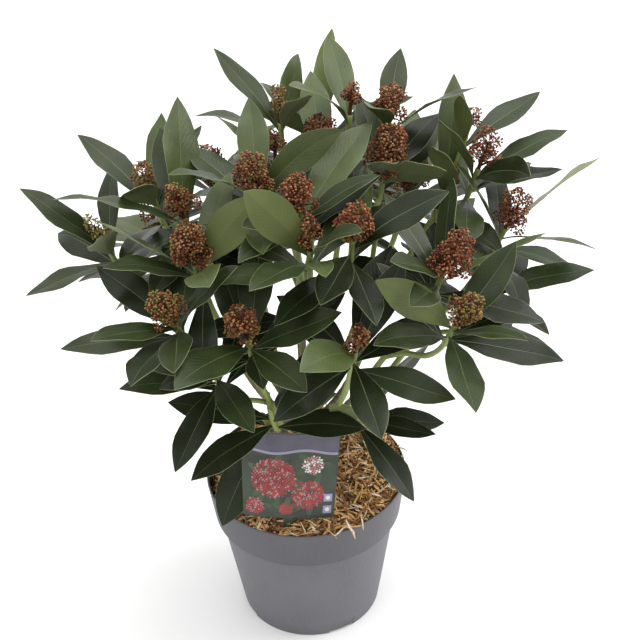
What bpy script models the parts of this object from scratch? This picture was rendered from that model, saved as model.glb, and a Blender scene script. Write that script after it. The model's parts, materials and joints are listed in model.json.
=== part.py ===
"""Potted skimmia: a compact evergreen shrub in bud, in a round plastic pot.

Units are metres and +Z is up. The origin is the middle of the pot's flat
underside, +Y points away from the viewer and +X to the viewer's right. Each
sub-part is one closed object. Neighbours keep a gap of 0.3 mm.
"""

import math
import random
from dataclasses import dataclass

import bmesh
import bpy
from mathutils import Matrix, Vector, noise
from mathutils.bvhtree import BVHTree

MM = 0.001
GAP = 0.3 * MM
UP = Vector((0.0, 0.0, 1.0))

# Pot: a flared body, a wider collar above a step, and a notched foot ring
SEGMENTS = 36
POT_HEIGHT = 152 * MM
RIM_RADIUS = 92 * MM
COLLAR_RADIUS = 87 * MM
COLLAR_BOTTOM = 111 * MM
BODY_RADIUS = 82 * MM
BASE_RADIUS = 65.5 * MM
POT_WALL = 1.6 * MM
FOOT_HEIGHT = 4 * MM
FOOT_WIDTH = 4.5 * MM
PAD_RADIUS = 12 * MM
NOTCHES = 4
NOTCH_AZIMUTH = -65.5
NOTCH_WIDTH = 26 * MM

# Root ball and the mulch of wood splinters on it
SOIL_TOP = 134 * MM
MULCH_EDGE = 146.5 * MM
MULCH_DOME = 11.5 * MM
MULCH_DOME_POWER = 1.6
MULCH_TILT = (3.0 * MM, 2.5 * MM)
MULCH_BUMP = 1.1 * MM
MULCH_WAVES = (3.3 * MM, 3.9 * MM)
SEAT_RADIUS = 16 * MM
SEAT_HEIGHT = MULCH_EDGE + MULCH_DOME
MULCH_RINGS = (0.36, 0.58, 0.80)

# Plant label: a bowed card on a spike, pushed into the mulch
LABEL_FOOT = (-16.5 * MM, -73 * MM, 158 * MM)
LABEL_TOP_WIDTH = 87 * MM
LABEL_BOTTOM_WIDTH = 80 * MM
LABEL_HEIGHT = 82 * MM
LABEL_THICKNESS = 0.8 * MM
LABEL_BOW = 4 * MM
LABEL_LEAN = 15
LABEL_TURN = 4
SPIKE_WIDTH = 9 * MM
SPIKE_TIP_WIDTH = 2.7 * MM
SPIKE_LENGTH = 34 * MM

# Main stem: short and woody, with a flare at the mulch and three tiers of boughs
STEM_TOP = 62 * MM
STEM_PROFILE = ((0.0, 11.5), (0.06, 9.6), (0.20, 8.4), (0.65, 7.6), (1.0, 6.2))
STEM_LEAN = Vector((3 * MM, 5 * MM, 0.0))
STEM_LEAN_POWER = 1.5
STEM_SIDES = 10
TIER_HEIGHTS = (18 * MM, 38 * MM, 56 * MM)
TIER_RISES = (32, 43, 56)
TIER_REACHES = (12.5 * MM, 14 * MM, 16 * MM)
BOUGH_SPACING = 46
BOUGH_SHARE = 0.5
BOUGH_LIFT = 0.5
CURVE_PULL = 0.38
BOUGH_RADIUS = 3.4 * MM
BOUGH_TIP_RADIUS = 2.8 * MM
TWIG_RADIUS = 2.7 * MM
FORK_RADIUS = 2.3 * MM
TWIG_TIP_RADIUS = 2.4 * MM
FIRST_FORK = 0.10
FORK_STEP = 0.16
FORK_SPREAD = 0.08
BUD_DEPTH = 1 * MM
BOUGH_POINTS = 6
BOUGH_SIDES = 6
LEADER_POINTS = 5
TWIG_SIDES = 4
COLLAR_SIDES = 6
COLLAR_RADIUS_AT_STEM = 4.4 * MM
COLLAR_RADIUS_AT_BOUGH = BOUGH_RADIUS + 0.2 * MM

# Shoots, leaves and flower heads
HEAD_SIDES = 7
HEAD_RINGS = 5
HEAD_BUMP = 0.16
HEAD_BUMP_SCALE = 1.7
CROWN_FOCUS = Vector((0.0, 0.0, 160 * MM))
CROWN_MIDDLE = Vector((0.0, 0.0, 325 * MM))
CROWN_RADII = Vector((165 * MM, 150 * MM, 155 * MM))
REAR_TILTS = (52, 70, 88)
REAR_TURNS = (-9, 11, 0)
REAR_LEAVES = 9
UPRIGHTNESS = 0.45
GOLDEN_ANGLE = 137.508
HEAD_TO_LEAVES = 21 * MM
BUD_TO_LEAVES = 3 * MM
LEAF_ZONE = 26 * MM
LEAF_LENGTH = 90 * MM
LEAF_SLENDERNESS = 0.355
LEAF_THICKNESS = 1.2 * MM
LEAF_FOLD = 0.09
PETIOLE_HALF_WIDTH = 1.1 * MM
LEAF_STATIONS = (0.0, 0.34, 0.70)
TOP_LEAF_RISE = 46
LOW_LEAF_RISE = -6
RISE_SPREAD = 7
TURN_SPREAD = 8
LENGTH_SPREAD = (0.86, 1.08)
LEAF_BENDS = (12, 40)
LEAF_ROLL = 14
AIMED_BEND = 16
CLEARANCE = 0.7 * MM
MASS_REACH = 175 * MM
NUDGES = ((0, 0), (12, 0), (-12, 0), (0, 10), (0, -10),
          (14, 12), (-14, 12), (14, -12), (-14, -12), (26, 0), (-26, 0),
          (26, 16), (-26, 16), (26, -16), (-26, -16), (0, 24), (0, -24),
          (40, 8), (-40, 8), (40, -12), (-40, -12))
NUDGE_SIZES = (1.0, 0.84)
SEED = 11


@dataclass(frozen=True)
class Head:
    """Flower head: width and height in millimetres."""

    width: float
    height: float


@dataclass(frozen=True)
class Shoot:
    """Leafy shoot: where its head or bud is, and the leaves that show best.

    An aim is a leaf's azimuth and rise in degrees and its length, seen from
    the whorl. The rest of the whorl is dealt out from it by the golden angle.
    """

    tip: tuple
    aims: tuple = ()
    leaves: int = 8
    head: Head | None = None


@dataclass(frozen=True)
class Mass:
    """One mass of foliage, on a bough of its own from one tier of the stem."""

    tier: int
    shoots: tuple


DENSE = Head(41, 46)
ROUND = Head(36, 38)
SLIM = Head(24, 40)
SMALL = Head(22, 24)
LARGE = Head(46, 54)


def direction(azimuth, rise):
    """Unit vector from an azimuth and a rise in degrees."""
    a, r = math.radians(azimuth), math.radians(rise)
    return Vector((math.cos(r) * math.cos(a), math.cos(r) * math.sin(a), math.sin(r)))


def rear_shoots(azimuth):
    """Three shoots one below the other on the far side, which is fuller of leaves."""
    shoots = []
    for tilt, turn, head in zip(REAR_TILTS, REAR_TURNS, (DENSE, ROUND, None)):
        around = direction(azimuth + turn, 90 - tilt)
        tip = CROWN_MIDDLE + Vector(a * b for a, b in zip(around, CROWN_RADII))
        shoots.append(Shoot(tuple(tip / MM), leaves=REAR_LEAVES, head=head))
    return tuple(shoots)


CROWN = {
    "left": Mass(1, (
        Shoot((-122, 30, 446), ((144, 29, 95), (97, 40, 85)), 8, ROUND),
        Shoot((-164, 10, 410), ((167, 38, 94), (-87, 22, 70)), 8, SLIM))),
    "left_front": Mass(1, (
        Shoot((-81, -80, 447), ((-10, 63, 85), (162, 23, 100)), 8, DENSE),
        Shoot((-99, -105, 409), ((-138, 30, 85), (-110, 8, 90)), 9, DENSE))),
    "upper_left": Mass(2, (
        Shoot((-91, -25, 458), ((93, 58, 104), (-153, 43, 90)), 8, ROUND),
        Shoot((-30, -30, 482), ((94, 42, 90), (140, 22, 80)), 8, DENSE))),
    "upper_back": Mass(2, (
        Shoot((-9, 65, 495), ((146, 44, 90),), 7, SLIM),
        Shoot((-14, 30, 478), ((-163, 50, 70),), 5, SMALL),
        Shoot((26, 85, 474), ((79, 49, 100),), 8, SMALL))),
    "middle": Mass(2, (
        Shoot((2, -55, 475), ((50, 18, 112), (104, 36, 72)), 7, DENSE),
        Shoot((13, -90, 462), ((-155, 55, 90), (-80, 23, 70)), 7, SLIM),
        Shoot((47, -80, 464), ((91, 30, 80), (-120, 5, 80)), 7, DENSE))),
    "upper_right": Mass(2, (
        Shoot((78, 20, 470), ((100, 42, 100), (35, 32, 85), (-59, 30, 80)), 8, LARGE),
        Shoot((25, 30, 479), ((106, 39, 90),), 6, DENSE),
        Shoot((51, 65, 500), ((80, 37, 85),), 6, SMALL),
        Shoot((84, 65, 491), ((65, 36, 80),), 7, ROUND))),
    "right": Mass(1, (
        Shoot((133, 40, 436), ((75, 64, 105),), 7, SMALL),
        Shoot((150, 50, 482), ((34, 17, 90), (-105, 70, 60)), 6, SMALL),
        Shoot((161, 40, 457), ((17, 42, 88), (-138, 59, 85), (43, -9, 80)), 8, DENSE))),
    "right_edge": Mass(0, (
        Shoot((184, 15, 412), ((21, 46, 112), (166, 62, 85)), 8, DENSE),
        Shoot((160, -20, 352), (), 7))),
    "right_front": Mass(1, (
        Shoot((121, -80, 431), ((77, 37, 90), (24, 10, 100)), 9, LARGE),
        Shoot((129, -105, 396), ((27, 1, 70), (-55, 22, 80), (-84, 0, 100)), 9, ROUND))),
    "front_left": Mass(0, (
        Shoot((-40, -130, 408), ((160, -12, 85), (80, 43, 90), (-57, 5, 80)), 9, DENSE),
        Shoot((-67, -110, 348), ((-178, 0, 80), (-115, -20, 85)), 6),
        Shoot((-26, -81, 285), ((172, 8, 90), (-60, 10, 80)), 5))),
    "front_right": Mass(0, (
        Shoot((46, -140, 399), ((96, 39, 100), (25, -4, 90), (53, 35, 90)), 9, SLIM),
        Shoot((50, -58, 262), ((-48, -34, 84), (5, -8, 78), (-20, 0, 70)), 6))),
    "low_left": Mass(0, (
        Shoot((-34, -40, 248), ((-121, -30, 104),), 5),)),
    "rear_left": Mass(1, rear_shoots(133)),
    "rear_middle": Mass(0, rear_shoots(90)),
    "rear_right": Mass(1, rear_shoots(47)),
}


# Materials

def material(name, colour, roughness):
    """Plain Principled material."""
    made = bpy.data.materials.new(name)
    made.use_nodes = True
    shader = made.node_tree.nodes["Principled BSDF"]
    shader.inputs["Base Color"].default_value = (*colour, 1.0)
    shader.inputs["Roughness"].default_value = roughness
    shader.inputs["Metallic"].default_value = 0.0
    return made


def materials():
    """The plant's and the pot's materials by name."""
    return {
        "pot": material("pot_plastic", (0.20, 0.20, 0.22), 0.55),
        "soil": material("root_ball", (0.05, 0.03, 0.02), 0.95),
        "mulch": material("wood_splinters", (0.45, 0.27, 0.10), 0.9),
        "label": material("label_card", (0.35, 0.10, 0.14), 0.35),
        "bark": material("bark", (0.20, 0.17, 0.08), 0.8),
        "foliage": material("leaf_green", (0.03, 0.07, 0.03), 0.4),
    }


# Mesh helpers

BOX_FACES = ((0, 1, 3, 2), (4, 6, 7, 5), (0, 4, 5, 1), (2, 3, 7, 6), (0, 2, 6, 4), (1, 5, 7, 3))


def make_object(name, vertices, faces, look):
    """Closed object from vertices and faces, with its faces turned outward."""
    mesh = bpy.data.meshes.new(name)
    mesh.from_pydata([tuple(v) for v in vertices], [], faces)
    bm = bmesh.new()
    bm.from_mesh(mesh)
    bmesh.ops.recalc_face_normals(bm, faces=bm.faces)
    bm.to_mesh(mesh)
    bm.free()
    mesh.materials.append(look)
    made = bpy.data.objects.new(name, mesh)
    bpy.context.scene.collection.objects.link(made)
    return made


def shade(made, angle=40):
    """Smooth shading with the sharp edges kept."""
    made.data.shade_smooth()
    made.data.set_sharp_from_angle(angle=math.radians(angle))


def lathe(name, profile, look):
    """Solid of revolution from (radius, height) points that start and end on the axis."""
    bm = bmesh.new()
    points = [bm.verts.new((r, 0.0, z)) for r, z in profile]
    edges = [bm.edges.new(pair) for pair in zip(points, points[1:])]
    bmesh.ops.spin(bm, geom=points + edges, axis=UP, cent=(0, 0, 0), angle=math.tau,
                   steps=SEGMENTS, use_duplicate=False)
    bmesh.ops.remove_doubles(bm, verts=bm.verts, dist=0.01 * MM)
    bmesh.ops.recalc_face_normals(bm, faces=bm.faces)
    mesh = bpy.data.meshes.new(name)
    bm.to_mesh(mesh)
    bm.free()
    mesh.materials.append(look)
    made = bpy.data.objects.new(name, mesh)
    bpy.context.scene.collection.objects.link(made)
    shade(made)
    return made


@dataclass
class Limb:
    """A tapering limb along a path, which it leaves and ends along two directions."""

    path: list
    radii: list
    start_way: Vector
    end_way: Vector


def tube(limb, sides):
    """Vertices and faces of a limb's closed tube, its ends cut square."""
    vertices, faces = [], []
    path, last = limb.path, len(limb.path) - 1
    across = limb.start_way.orthogonal()
    for i, point in enumerate(path):
        along = limb.end_way if i == last else limb.start_way
        if 0 < i < last:
            along = (path[i + 1] - path[i - 1]).normalized()
        across = (across - along * across.dot(along)).normalized()
        other = along.cross(across)
        for k in range(sides):
            turn = math.tau * k / sides
            spoke = across * math.cos(turn) + other * math.sin(turn)
            vertices.append(point + spoke * limb.radii[i])
    for i in range(last):
        for k in range(sides):
            a, b = i * sides + k, i * sides + (k + 1) % sides
            faces.append((a, b, b + sides, a + sides))
    faces.append(tuple(reversed(range(sides))))
    faces.append(tuple(range(last * sides, (last + 1) * sides)))
    return vertices, faces


def bezier(start, start_way, end, end_way, count):
    """Points on a cubic curve that leaves and arrives along two directions."""
    pull = (end - start).length * CURVE_PULL
    b, c = start + start_way * pull, end - end_way * pull
    points = []
    for i in range(count):
        t = i / (count - 1)
        u = 1.0 - t
        points.append(start * u**3 + b * 3 * u * u * t + c * 3 * u * t * t + end * t**3)
    return points


def boolean(made, operation, cutters, solver="EXACT"):
    """Applies one Boolean with a collection of objects, which are then removed."""
    group = bpy.data.collections.new(made.name + "_operands")
    for cutter in cutters:
        group.objects.link(cutter)
    step = made.modifiers.new(operation.lower(), "BOOLEAN")
    step.operation = operation
    step.operand_type = "COLLECTION"
    step.collection = group
    step.solver = solver
    graph = bpy.context.evaluated_depsgraph_get()
    joined = bpy.data.meshes.new_from_object(made.evaluated_get(graph))
    made.modifiers.clear()
    made.data = joined
    for cutter in cutters:
        bpy.data.objects.remove(cutter)
    bpy.data.collections.remove(group)


def keep_outer_body(made):
    """Fills hollows that a union sealed, and drops its loose scraps."""
    bm = bmesh.new()
    bm.from_mesh(made.data)
    left = set(bm.faces)
    islands = []
    while left:
        queue = [left.pop()]
        island = list(queue)
        while queue:
            for edge in queue.pop().edges:
                for face in edge.link_faces:
                    if face in left:
                        left.remove(face)
                        queue.append(face)
                        island.append(face)
        islands.append(island)
    islands.sort(key=len)
    for island in islands[:-1]:
        bmesh.ops.delete(bm, geom=island, context="FACES")
    bm.to_mesh(made.data)
    bm.free()


# Pot, root ball, mulch and label

def inner_radius(height):
    """Inner radius of the pot's wall at a height above its floor."""
    floor = FOOT_HEIGHT + POT_WALL
    step = COLLAR_BOTTOM + POT_WALL
    if height < COLLAR_BOTTOM:
        share = (height - floor) / (COLLAR_BOTTOM - floor)
        return (BASE_RADIUS + (BODY_RADIUS - BASE_RADIUS) * share) - POT_WALL
    share = min(1.0, (height - step) / (POT_HEIGHT - step))
    return (COLLAR_RADIUS + (RIM_RADIUS - COLLAR_RADIUS) * share) - POT_WALL


def make_pot(look):
    """Pot with a stepped collar, and a foot ring cut by four notches."""
    floor = FOOT_HEIGHT + POT_WALL
    profile = (
        (0.0, 0.0), (PAD_RADIUS, 0.0), (PAD_RADIUS + 2 * MM, FOOT_HEIGHT),
        (BASE_RADIUS - FOOT_WIDTH - 1 * MM, FOOT_HEIGHT), (BASE_RADIUS - FOOT_WIDTH, 0.0),
        (BASE_RADIUS, 0.0), (BODY_RADIUS, COLLAR_BOTTOM - 1.5 * MM), (COLLAR_RADIUS, COLLAR_BOTTOM),
        (RIM_RADIUS, POT_HEIGHT), (RIM_RADIUS - POT_WALL, POT_HEIGHT),
        (inner_radius(COLLAR_BOTTOM + POT_WALL), COLLAR_BOTTOM + POT_WALL),
        (BODY_RADIUS - POT_WALL, COLLAR_BOTTOM), (BASE_RADIUS - POT_WALL, floor), (0.0, floor))
    pot = lathe("pot", profile, look)
    cutters = []
    for k in range(NOTCHES):
        turn = Matrix.Rotation(math.radians(NOTCH_AZIMUTH + 360 * k / NOTCHES), 4, "Z")
        corners = []
        for x in (BASE_RADIUS - FOOT_WIDTH - 4 * MM, BASE_RADIUS + 4 * MM):
            for z, widening in ((-2 * MM, 2 * MM), (FOOT_HEIGHT - GAP, -2 * MM)):
                half = NOTCH_WIDTH / 2 + widening
                corners += [turn @ Vector((x, -half, z)), turn @ Vector((x, half, z))]
        cutters.append(make_object(f"notch_{k}", corners, BOX_FACES, look))
    boolean(pot, "DIFFERENCE", cutters)
    shade(pot)
    return pot


def make_soil(look):
    """Root ball that fills the pot up to the mulch."""
    floor = FOOT_HEIGHT + POT_WALL + GAP
    step = COLLAR_BOTTOM + POT_WALL + GAP
    profile = (
        (0.0, floor), (inner_radius(floor) - 1.5 * GAP, floor),
        (inner_radius(COLLAR_BOTTOM - GAP) - 1.5 * GAP, COLLAR_BOTTOM + GAP),
        (inner_radius(step) - 1.5 * GAP, step + GAP),
        (inner_radius(SOIL_TOP) - 1.5 * GAP, SOIL_TOP), (0.0, SOIL_TOP))
    return lathe("soil", profile, look)


def mulch_height(x, y):
    """Height of the mulch: flat under the stem, domed, and higher right and back."""
    radius = math.hypot(x, y)
    if radius <= SEAT_RADIUS + 0.1 * MM:
        return SEAT_HEIGHT
    share = (radius - SEAT_RADIUS) / (RIM_RADIUS - SEAT_RADIUS)
    level = MULCH_EDGE + MULCH_DOME * (1.0 - share**MULCH_DOME_POWER)
    level += (MULCH_TILT[0] * x + MULCH_TILT[1] * y) / RIM_RADIUS
    bump = math.sin(x / MULCH_WAVES[0] + 1.7) * math.cos(y / MULCH_WAVES[1])
    return level + MULCH_BUMP * bump * min(1.0, 4 * share)


def make_mulch(look):
    """Domed layer of wood splinters with a flat seat for the stem."""
    bottom = SOIL_TOP + GAP
    rings = [[] for _ in range(len(MULCH_RINGS) + 5)]
    rings[0].append(UP * bottom)
    rings[-1].append(UP * SEAT_HEIGHT)
    for k in range(SEGMENTS):
        turn = math.tau * k / SEGMENTS
        around = Vector((math.cos(turn), math.sin(turn), 0.0))
        wall = inner_radius(bottom) - 1.5 * GAP
        rings[1].append(around * wall + UP * bottom)
        edge = around * (inner_radius(MULCH_EDGE) - 2 * GAP)
        top = mulch_height(edge.x, edge.y)
        rings[2].append(around * (inner_radius(top) - 1.5 * GAP) + UP * top)
        for row, share in enumerate(reversed(MULCH_RINGS)):
            point = around * (RIM_RADIUS * share)
            rings[3 + row].append(point + UP * mulch_height(point.x, point.y))
        rings[-2].append(around * SEAT_RADIUS + UP * SEAT_HEIGHT)
    vertices, faces, starts = [], [], []
    for ring in rings:
        starts.append(len(vertices))
        vertices += ring
    for a, b, first, second in zip(rings, rings[1:], starts, starts[1:]):
        for k in range(SEGMENTS):
            following = (k + 1) % SEGMENTS
            if len(a) == 1:
                faces.append((first, second + k, second + following))
            elif len(b) == 1:
                faces.append((first + following, first + k, second))
            else:
                faces.append((first + k, first + following, second + following, second + k))
    mulch = make_object("mulch", vertices, faces, look)
    shade(mulch)
    return mulch


def label_matrix():
    """Frame of the label: X across, Y through the card, Z up, from the card's foot."""
    lean = Matrix.Rotation(math.radians(-LABEL_LEAN), 4, "X")
    turn = Matrix.Rotation(math.radians(LABEL_TURN), 4, "Y")
    return Matrix.Translation(LABEL_FOOT) @ lean @ turn


def make_label(look):
    """Bowed card with a tapering spike under its middle."""
    half_spike = SPIKE_WIDTH / 2
    shares = (-1.0, -0.7, -0.4, None, None, 0.4, 0.7, 1.0)
    lower, upper = [], []
    for k, share in enumerate(shares):
        if share is None:
            low = top = half_spike * (-1 if k == 3 else 1)
        else:
            low, top = share * LABEL_BOTTOM_WIDTH / 2, share * LABEL_TOP_WIDTH / 2
        lower.append(Vector((low, LABEL_BOW * (low / LABEL_BOTTOM_WIDTH * 2) ** 2, 0.0)))
        upper.append(Vector((top, LABEL_BOW * (top / LABEL_TOP_WIDTH * 2) ** 2, LABEL_HEIGHT)))
    count = len(shares)
    vertices = lower + upper
    faces = [(k, k + 1, count + k + 1, count + k) for k in range(count - 1)]
    tip = len(vertices)
    bend = lower[3].y
    for x in (-SPIKE_TIP_WIDTH / 2, SPIKE_TIP_WIDTH / 2):
        vertices.append(Vector((x, bend, -SPIKE_LENGTH)))
    faces.append((tip, tip + 1, 4, 3))
    front = [v - Vector((0.0, LABEL_THICKNESS / 2, 0.0)) for v in vertices]
    back = [v + Vector((0.0, LABEL_THICKNESS / 2, 0.0)) for v in vertices]
    total = len(vertices)
    closed = faces + [tuple(total + k for k in reversed(face)) for face in faces]
    edges = [(a, b) for face in faces for a, b in zip(face, face[1:] + face[:1])]
    for a, b in edges:
        if (b, a) not in edges:
            closed.append((b, a, total + a, total + b))
    label = make_object("label", front + back, closed, look)
    label.matrix_world = label_matrix()
    return label


def cut_label_slot(mulch, soil, look):
    """Slot in the mulch and the root ball, clear of the spike all round."""
    for made in (mulch, soil):
        corners = []
        for z in (-SPIKE_LENGTH - 2 * GAP, 12 * MM):
            half_width = SPIKE_WIDTH / 2 + 1.5 * GAP
            half_depth = LABEL_THICKNESS / 2 + 1.5 * GAP
            for x in (-half_width, half_width):
                corners += [Vector((x, y, z)) for y in (-half_depth, half_depth)]
        corners = [label_matrix() @ corner for corner in corners]
        boolean(made, "DIFFERENCE", [make_object("slot", corners, BOX_FACES, look)])


# Growth rule

def shoot_axis(tip):
    """Direction a shoot grows in: away from the crown's foot, then bent upward."""
    return ((tip - CROWN_FOCUS).normalized() + UP * UPRIGHTNESS).normalized()


@dataclass
class Leaf:
    """A leaf that arches in the plane of its outward direction and the shoot's axis."""

    root: Vector
    out: Vector
    axis: Vector
    rise: float
    bend: float
    roll: float
    length: float

    def at(self, share):
        """Point on the midrib, the way across the blade and the way up from it."""
        start = math.radians(self.rise + self.bend / 2)
        bend = math.radians(self.bend)
        angle = start - bend * share
        forward = (math.sin(start) - math.sin(angle)) / bend
        upward = (math.cos(angle) - math.cos(start)) / bend
        point = self.root + (self.out * forward + self.axis * upward) * self.length
        along = self.out * math.cos(angle) + self.axis * math.sin(angle)
        normal = self.axis * math.cos(angle) - self.out * math.sin(angle)
        turn = Matrix.Rotation(math.radians(self.roll), 3, along)
        return point, turn @ along.cross(normal), turn @ normal

    def half_width(self, share):
        """Half the blade's width: a long ellipse with a tapered foot and a pointed tip."""
        blade = math.sin(math.pi * share**1.1) ** 1.25
        return max(PETIOLE_HALF_WIDTH, blade * self.length * LEAF_SLENDERNESS / 2)

    def solid(self, clearance=0.0, start=0):
        """Vertices and faces of a three-sided closed blade."""
        vertices, faces = [], []
        for share in LEAF_STATIONS[start:]:
            point, side, normal = self.at(share)
            half = self.half_width(share)
            lift = normal * (half * LEAF_FOLD + clearance)
            half += clearance * 1.5
            vertices += [point - side * half + lift, point + side * half + lift,
                         point - normal * (LEAF_THICKNESS + clearance)]
        vertices.append(self.at(1.0 + clearance / self.length)[0])
        rows = len(LEAF_STATIONS) - start
        for row in range(rows - 1):
            for a, b in ((0, 1), (1, 2), (2, 0)):
                a, b = 3 * row + a, 3 * row + b
                faces.append((a, b, b + 3, a + 3))
        top = 3 * (rows - 1)
        faces += [(top + a, top + b, top + 3) for a, b in ((0, 1), (1, 2), (2, 0))]
        faces.append((2, 1, 0))
        return vertices, faces


@dataclass
class Blade:
    """A wished leaf of one shoot, before its place is tested."""

    mass: str
    shoot: int
    root: Vector
    axis: Vector
    azimuth: float
    rise: float
    bend: float
    roll: float
    length: float

    def leaf(self, turn, tilt, size):
        """The leaf, turned and tilted by some degrees, at a share of its length."""
        first = self.axis.cross(Vector((0.0, 1.0, 0.0))).normalized()
        second = self.axis.cross(first)
        azimuth = math.radians(self.azimuth + turn)
        out = first * math.cos(azimuth) + second * math.sin(azimuth)
        rise, length = self.rise + tilt, self.length * size
        return Leaf(self.root, out, self.axis, rise, self.bend, self.roll, length)


def wished_blades(mass, number, shoot, rng):
    """Leaves of one shoot: the aimed ones, and the others dealt out by the golden angle."""
    tip = Vector(shoot.tip) * MM
    axis = shoot_axis(tip)
    first = axis.cross(Vector((0.0, 1.0, 0.0))).normalized()
    second = axis.cross(first)
    top = whorl_top(shoot)
    aims = []
    for azimuth, rise, length in shoot.aims:
        way = direction(azimuth, rise)
        turn = math.degrees(math.atan2(way.dot(second), way.dot(first)))
        aims.append((turn, math.degrees(math.asin(way.dot(axis))), length * MM))
    phase = aims[0][0] if aims else rng.uniform(0, 360)
    wishes = {}
    for turn, rise, length in aims:
        def distance(k, turn=turn):
            return abs((phase + GOLDEN_ANGLE * k - turn + 180) % 360 - 180)
        slot = min((k for k in range(shoot.leaves) if k not in wishes), key=distance)
        wishes[slot] = (turn, rise, length)
    blades = []
    for k in range(shoot.leaves):
        level = k / (shoot.leaves - 1)
        rise = TOP_LEAF_RISE + (LOW_LEAF_RISE - TOP_LEAF_RISE) * level
        rise += rng.uniform(-RISE_SPREAD, RISE_SPREAD)
        length = LEAF_LENGTH * rng.uniform(*LENGTH_SPREAD)
        turn = phase + GOLDEN_ANGLE * k + rng.uniform(-TURN_SPREAD, TURN_SPREAD)
        bend, roll = rng.uniform(*LEAF_BENDS), rng.uniform(-LEAF_ROLL, LEAF_ROLL)
        if k in wishes:
            turn, rise, length = wishes[k]
            level, bend, roll = 0.5 * (1 - rise / 90), AIMED_BEND, 0
        root = top - axis * (LEAF_ZONE * level)
        blades.append((k in wishes, Blade(mass, number, root, axis, turn, rise, bend, roll, length)))
    return blades


@dataclass(frozen=True)
class Owner:
    """What a placed piece belongs to: limbs and pot have no mass.

    Each leaf has its place twice: whole, and as a blade without its foot,
    because the feet of one whorl all meet in its stem.
    """

    mass: str = ""
    shoot: int = 0
    whole: bool = True


class Space:
    """Everything that has its place, to test a new leaf against."""

    def __init__(self):
        self.pieces = []

    def add(self, owner, vertices, faces):
        """Gives a piece its place."""
        low = [min(v[i] for v in vertices) for i in range(3)]
        high = [max(v[i] for v in vertices) for i in range(3)]
        self.pieces.append((owner, BVHTree.FromPolygons(vertices, faces), low, high))

    def hits(self, vertices, faces, counts):
        """Whether a shape touches a piece whose owner counts."""
        low = [min(v[i] for v in vertices) for i in range(3)]
        high = [max(v[i] for v in vertices) for i in range(3)]
        tree = None
        for owner, other, its_low, its_high in self.pieces:
            apart = any(low[i] > its_high[i] or high[i] < its_low[i] for i in range(3))
            if apart or not counts(owner):
                continue
            tree = tree or BVHTree.FromPolygons(vertices, faces)
            if tree.overlap(other):
                return True
        return False


def place_leaf(space, blade, middle, aimed):
    """The first nudge of a leaf that keeps it clear, or None where none does.

    It may touch its own whorl's stem, and where it is aimed also its own
    mass, to which it is fused, but never another mass or a limb.
    """

    def other_mass(owner):
        return owner.whole and owner.mass != blade.mass

    def other_shoot(owner):
        return owner.whole and owner.mass == blade.mass and owner.shoot != blade.shoot

    def own_whorl(owner):
        return not owner.whole and owner.mass == blade.mass and owner.shoot == blade.shoot

    second_best = None
    for size in NUDGE_SIZES:
        for turn, tilt in NUDGES:
            leaf = blade.leaf(turn, tilt, size)
            whole, outer = leaf.solid(CLEARANCE), leaf.solid(CLEARANCE, start=1)
            beyond = (leaf.at(1.0)[0] - middle).length > MASS_REACH
            if beyond or space.hits(*whole, other_mass):
                continue
            if not (space.hits(*whole, other_shoot) or space.hits(*outer, own_whorl)):
                return leaf
            second_best = second_best or leaf
    return second_best if aimed else None


# Limbs

def stem_point(height):
    """Point on the main stem's leaning middle line, at a height above the mulch."""
    lean = STEM_LEAN * (height / STEM_TOP) ** STEM_LEAN_POWER
    return UP * (SEAT_HEIGHT + GAP + height) + lean


def whorl_top(shoot):
    """Highest leaf's place on a shoot: just under its bud, or under its flower head."""
    tip = Vector(shoot.tip) * MM
    return tip - shoot_axis(tip) * (HEAD_TO_LEAVES if shoot.head else BUD_TO_LEAVES)


def whorl_foot(shoot):
    """Lowest leaf's place on a shoot."""
    return whorl_top(shoot) - shoot_axis(Vector(shoot.tip) * MM) * LEAF_ZONE


def mass_middle(mass):
    """Middle of the lowest leaves of a mass's shoots."""
    feet = [whorl_foot(shoot) for shoot in mass.shoots]
    return sum(feet, Vector()) / len(feet)


def bough_azimuths():
    """Way out of the stem of each bough: toward its mass, but spaced round its tier."""
    azimuths = {}
    for tier, height in enumerate(TIER_HEIGHTS):
        ways = {}
        for name, mass in CROWN.items():
            if mass.tier == tier:
                lean = mass_middle(mass) - stem_point(height)
                ways[name] = math.degrees(math.atan2(lean.y, lean.x)) % 360
        for _ in range(len(ways) ** 2):
            names = sorted(ways, key=ways.get)
            for name, following in zip(names, names[1:] + names[:1]):
                lack = BOUGH_SPACING - (ways[following] - ways[name]) % 360
                if lack > 0:
                    ways[name] -= lack / 2
                    ways[following] += lack / 2
        azimuths.update(ways)
    return azimuths


def taper(first, last, count):
    """Evenly changing radii from the first to the last."""
    return [first + (last - first) * i / (count - 1) for i in range(count)]


def bough_of(mass, azimuth):
    """Bough from its collar on the main stem to where its mass begins."""
    middle = mass_middle(mass)
    base = stem_point(TIER_HEIGHTS[mass.tier])
    lean = (middle - base).normalized()
    out = direction(azimuth, TIER_RISES[mass.tier])
    reach = TIER_REACHES[mass.tier]
    start = base + out * (reach + GAP)
    end_way = (lean + UP * BOUGH_LIFT).normalized()
    end = base + (middle - base) * BOUGH_SHARE
    path = bezier(start, out, end, end_way, BOUGH_POINTS)
    radii = taper(BOUGH_RADIUS, BOUGH_TIP_RADIUS, BOUGH_POINTS)
    return Limb(path, radii, out, end_way), (base, out, reach)


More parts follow.
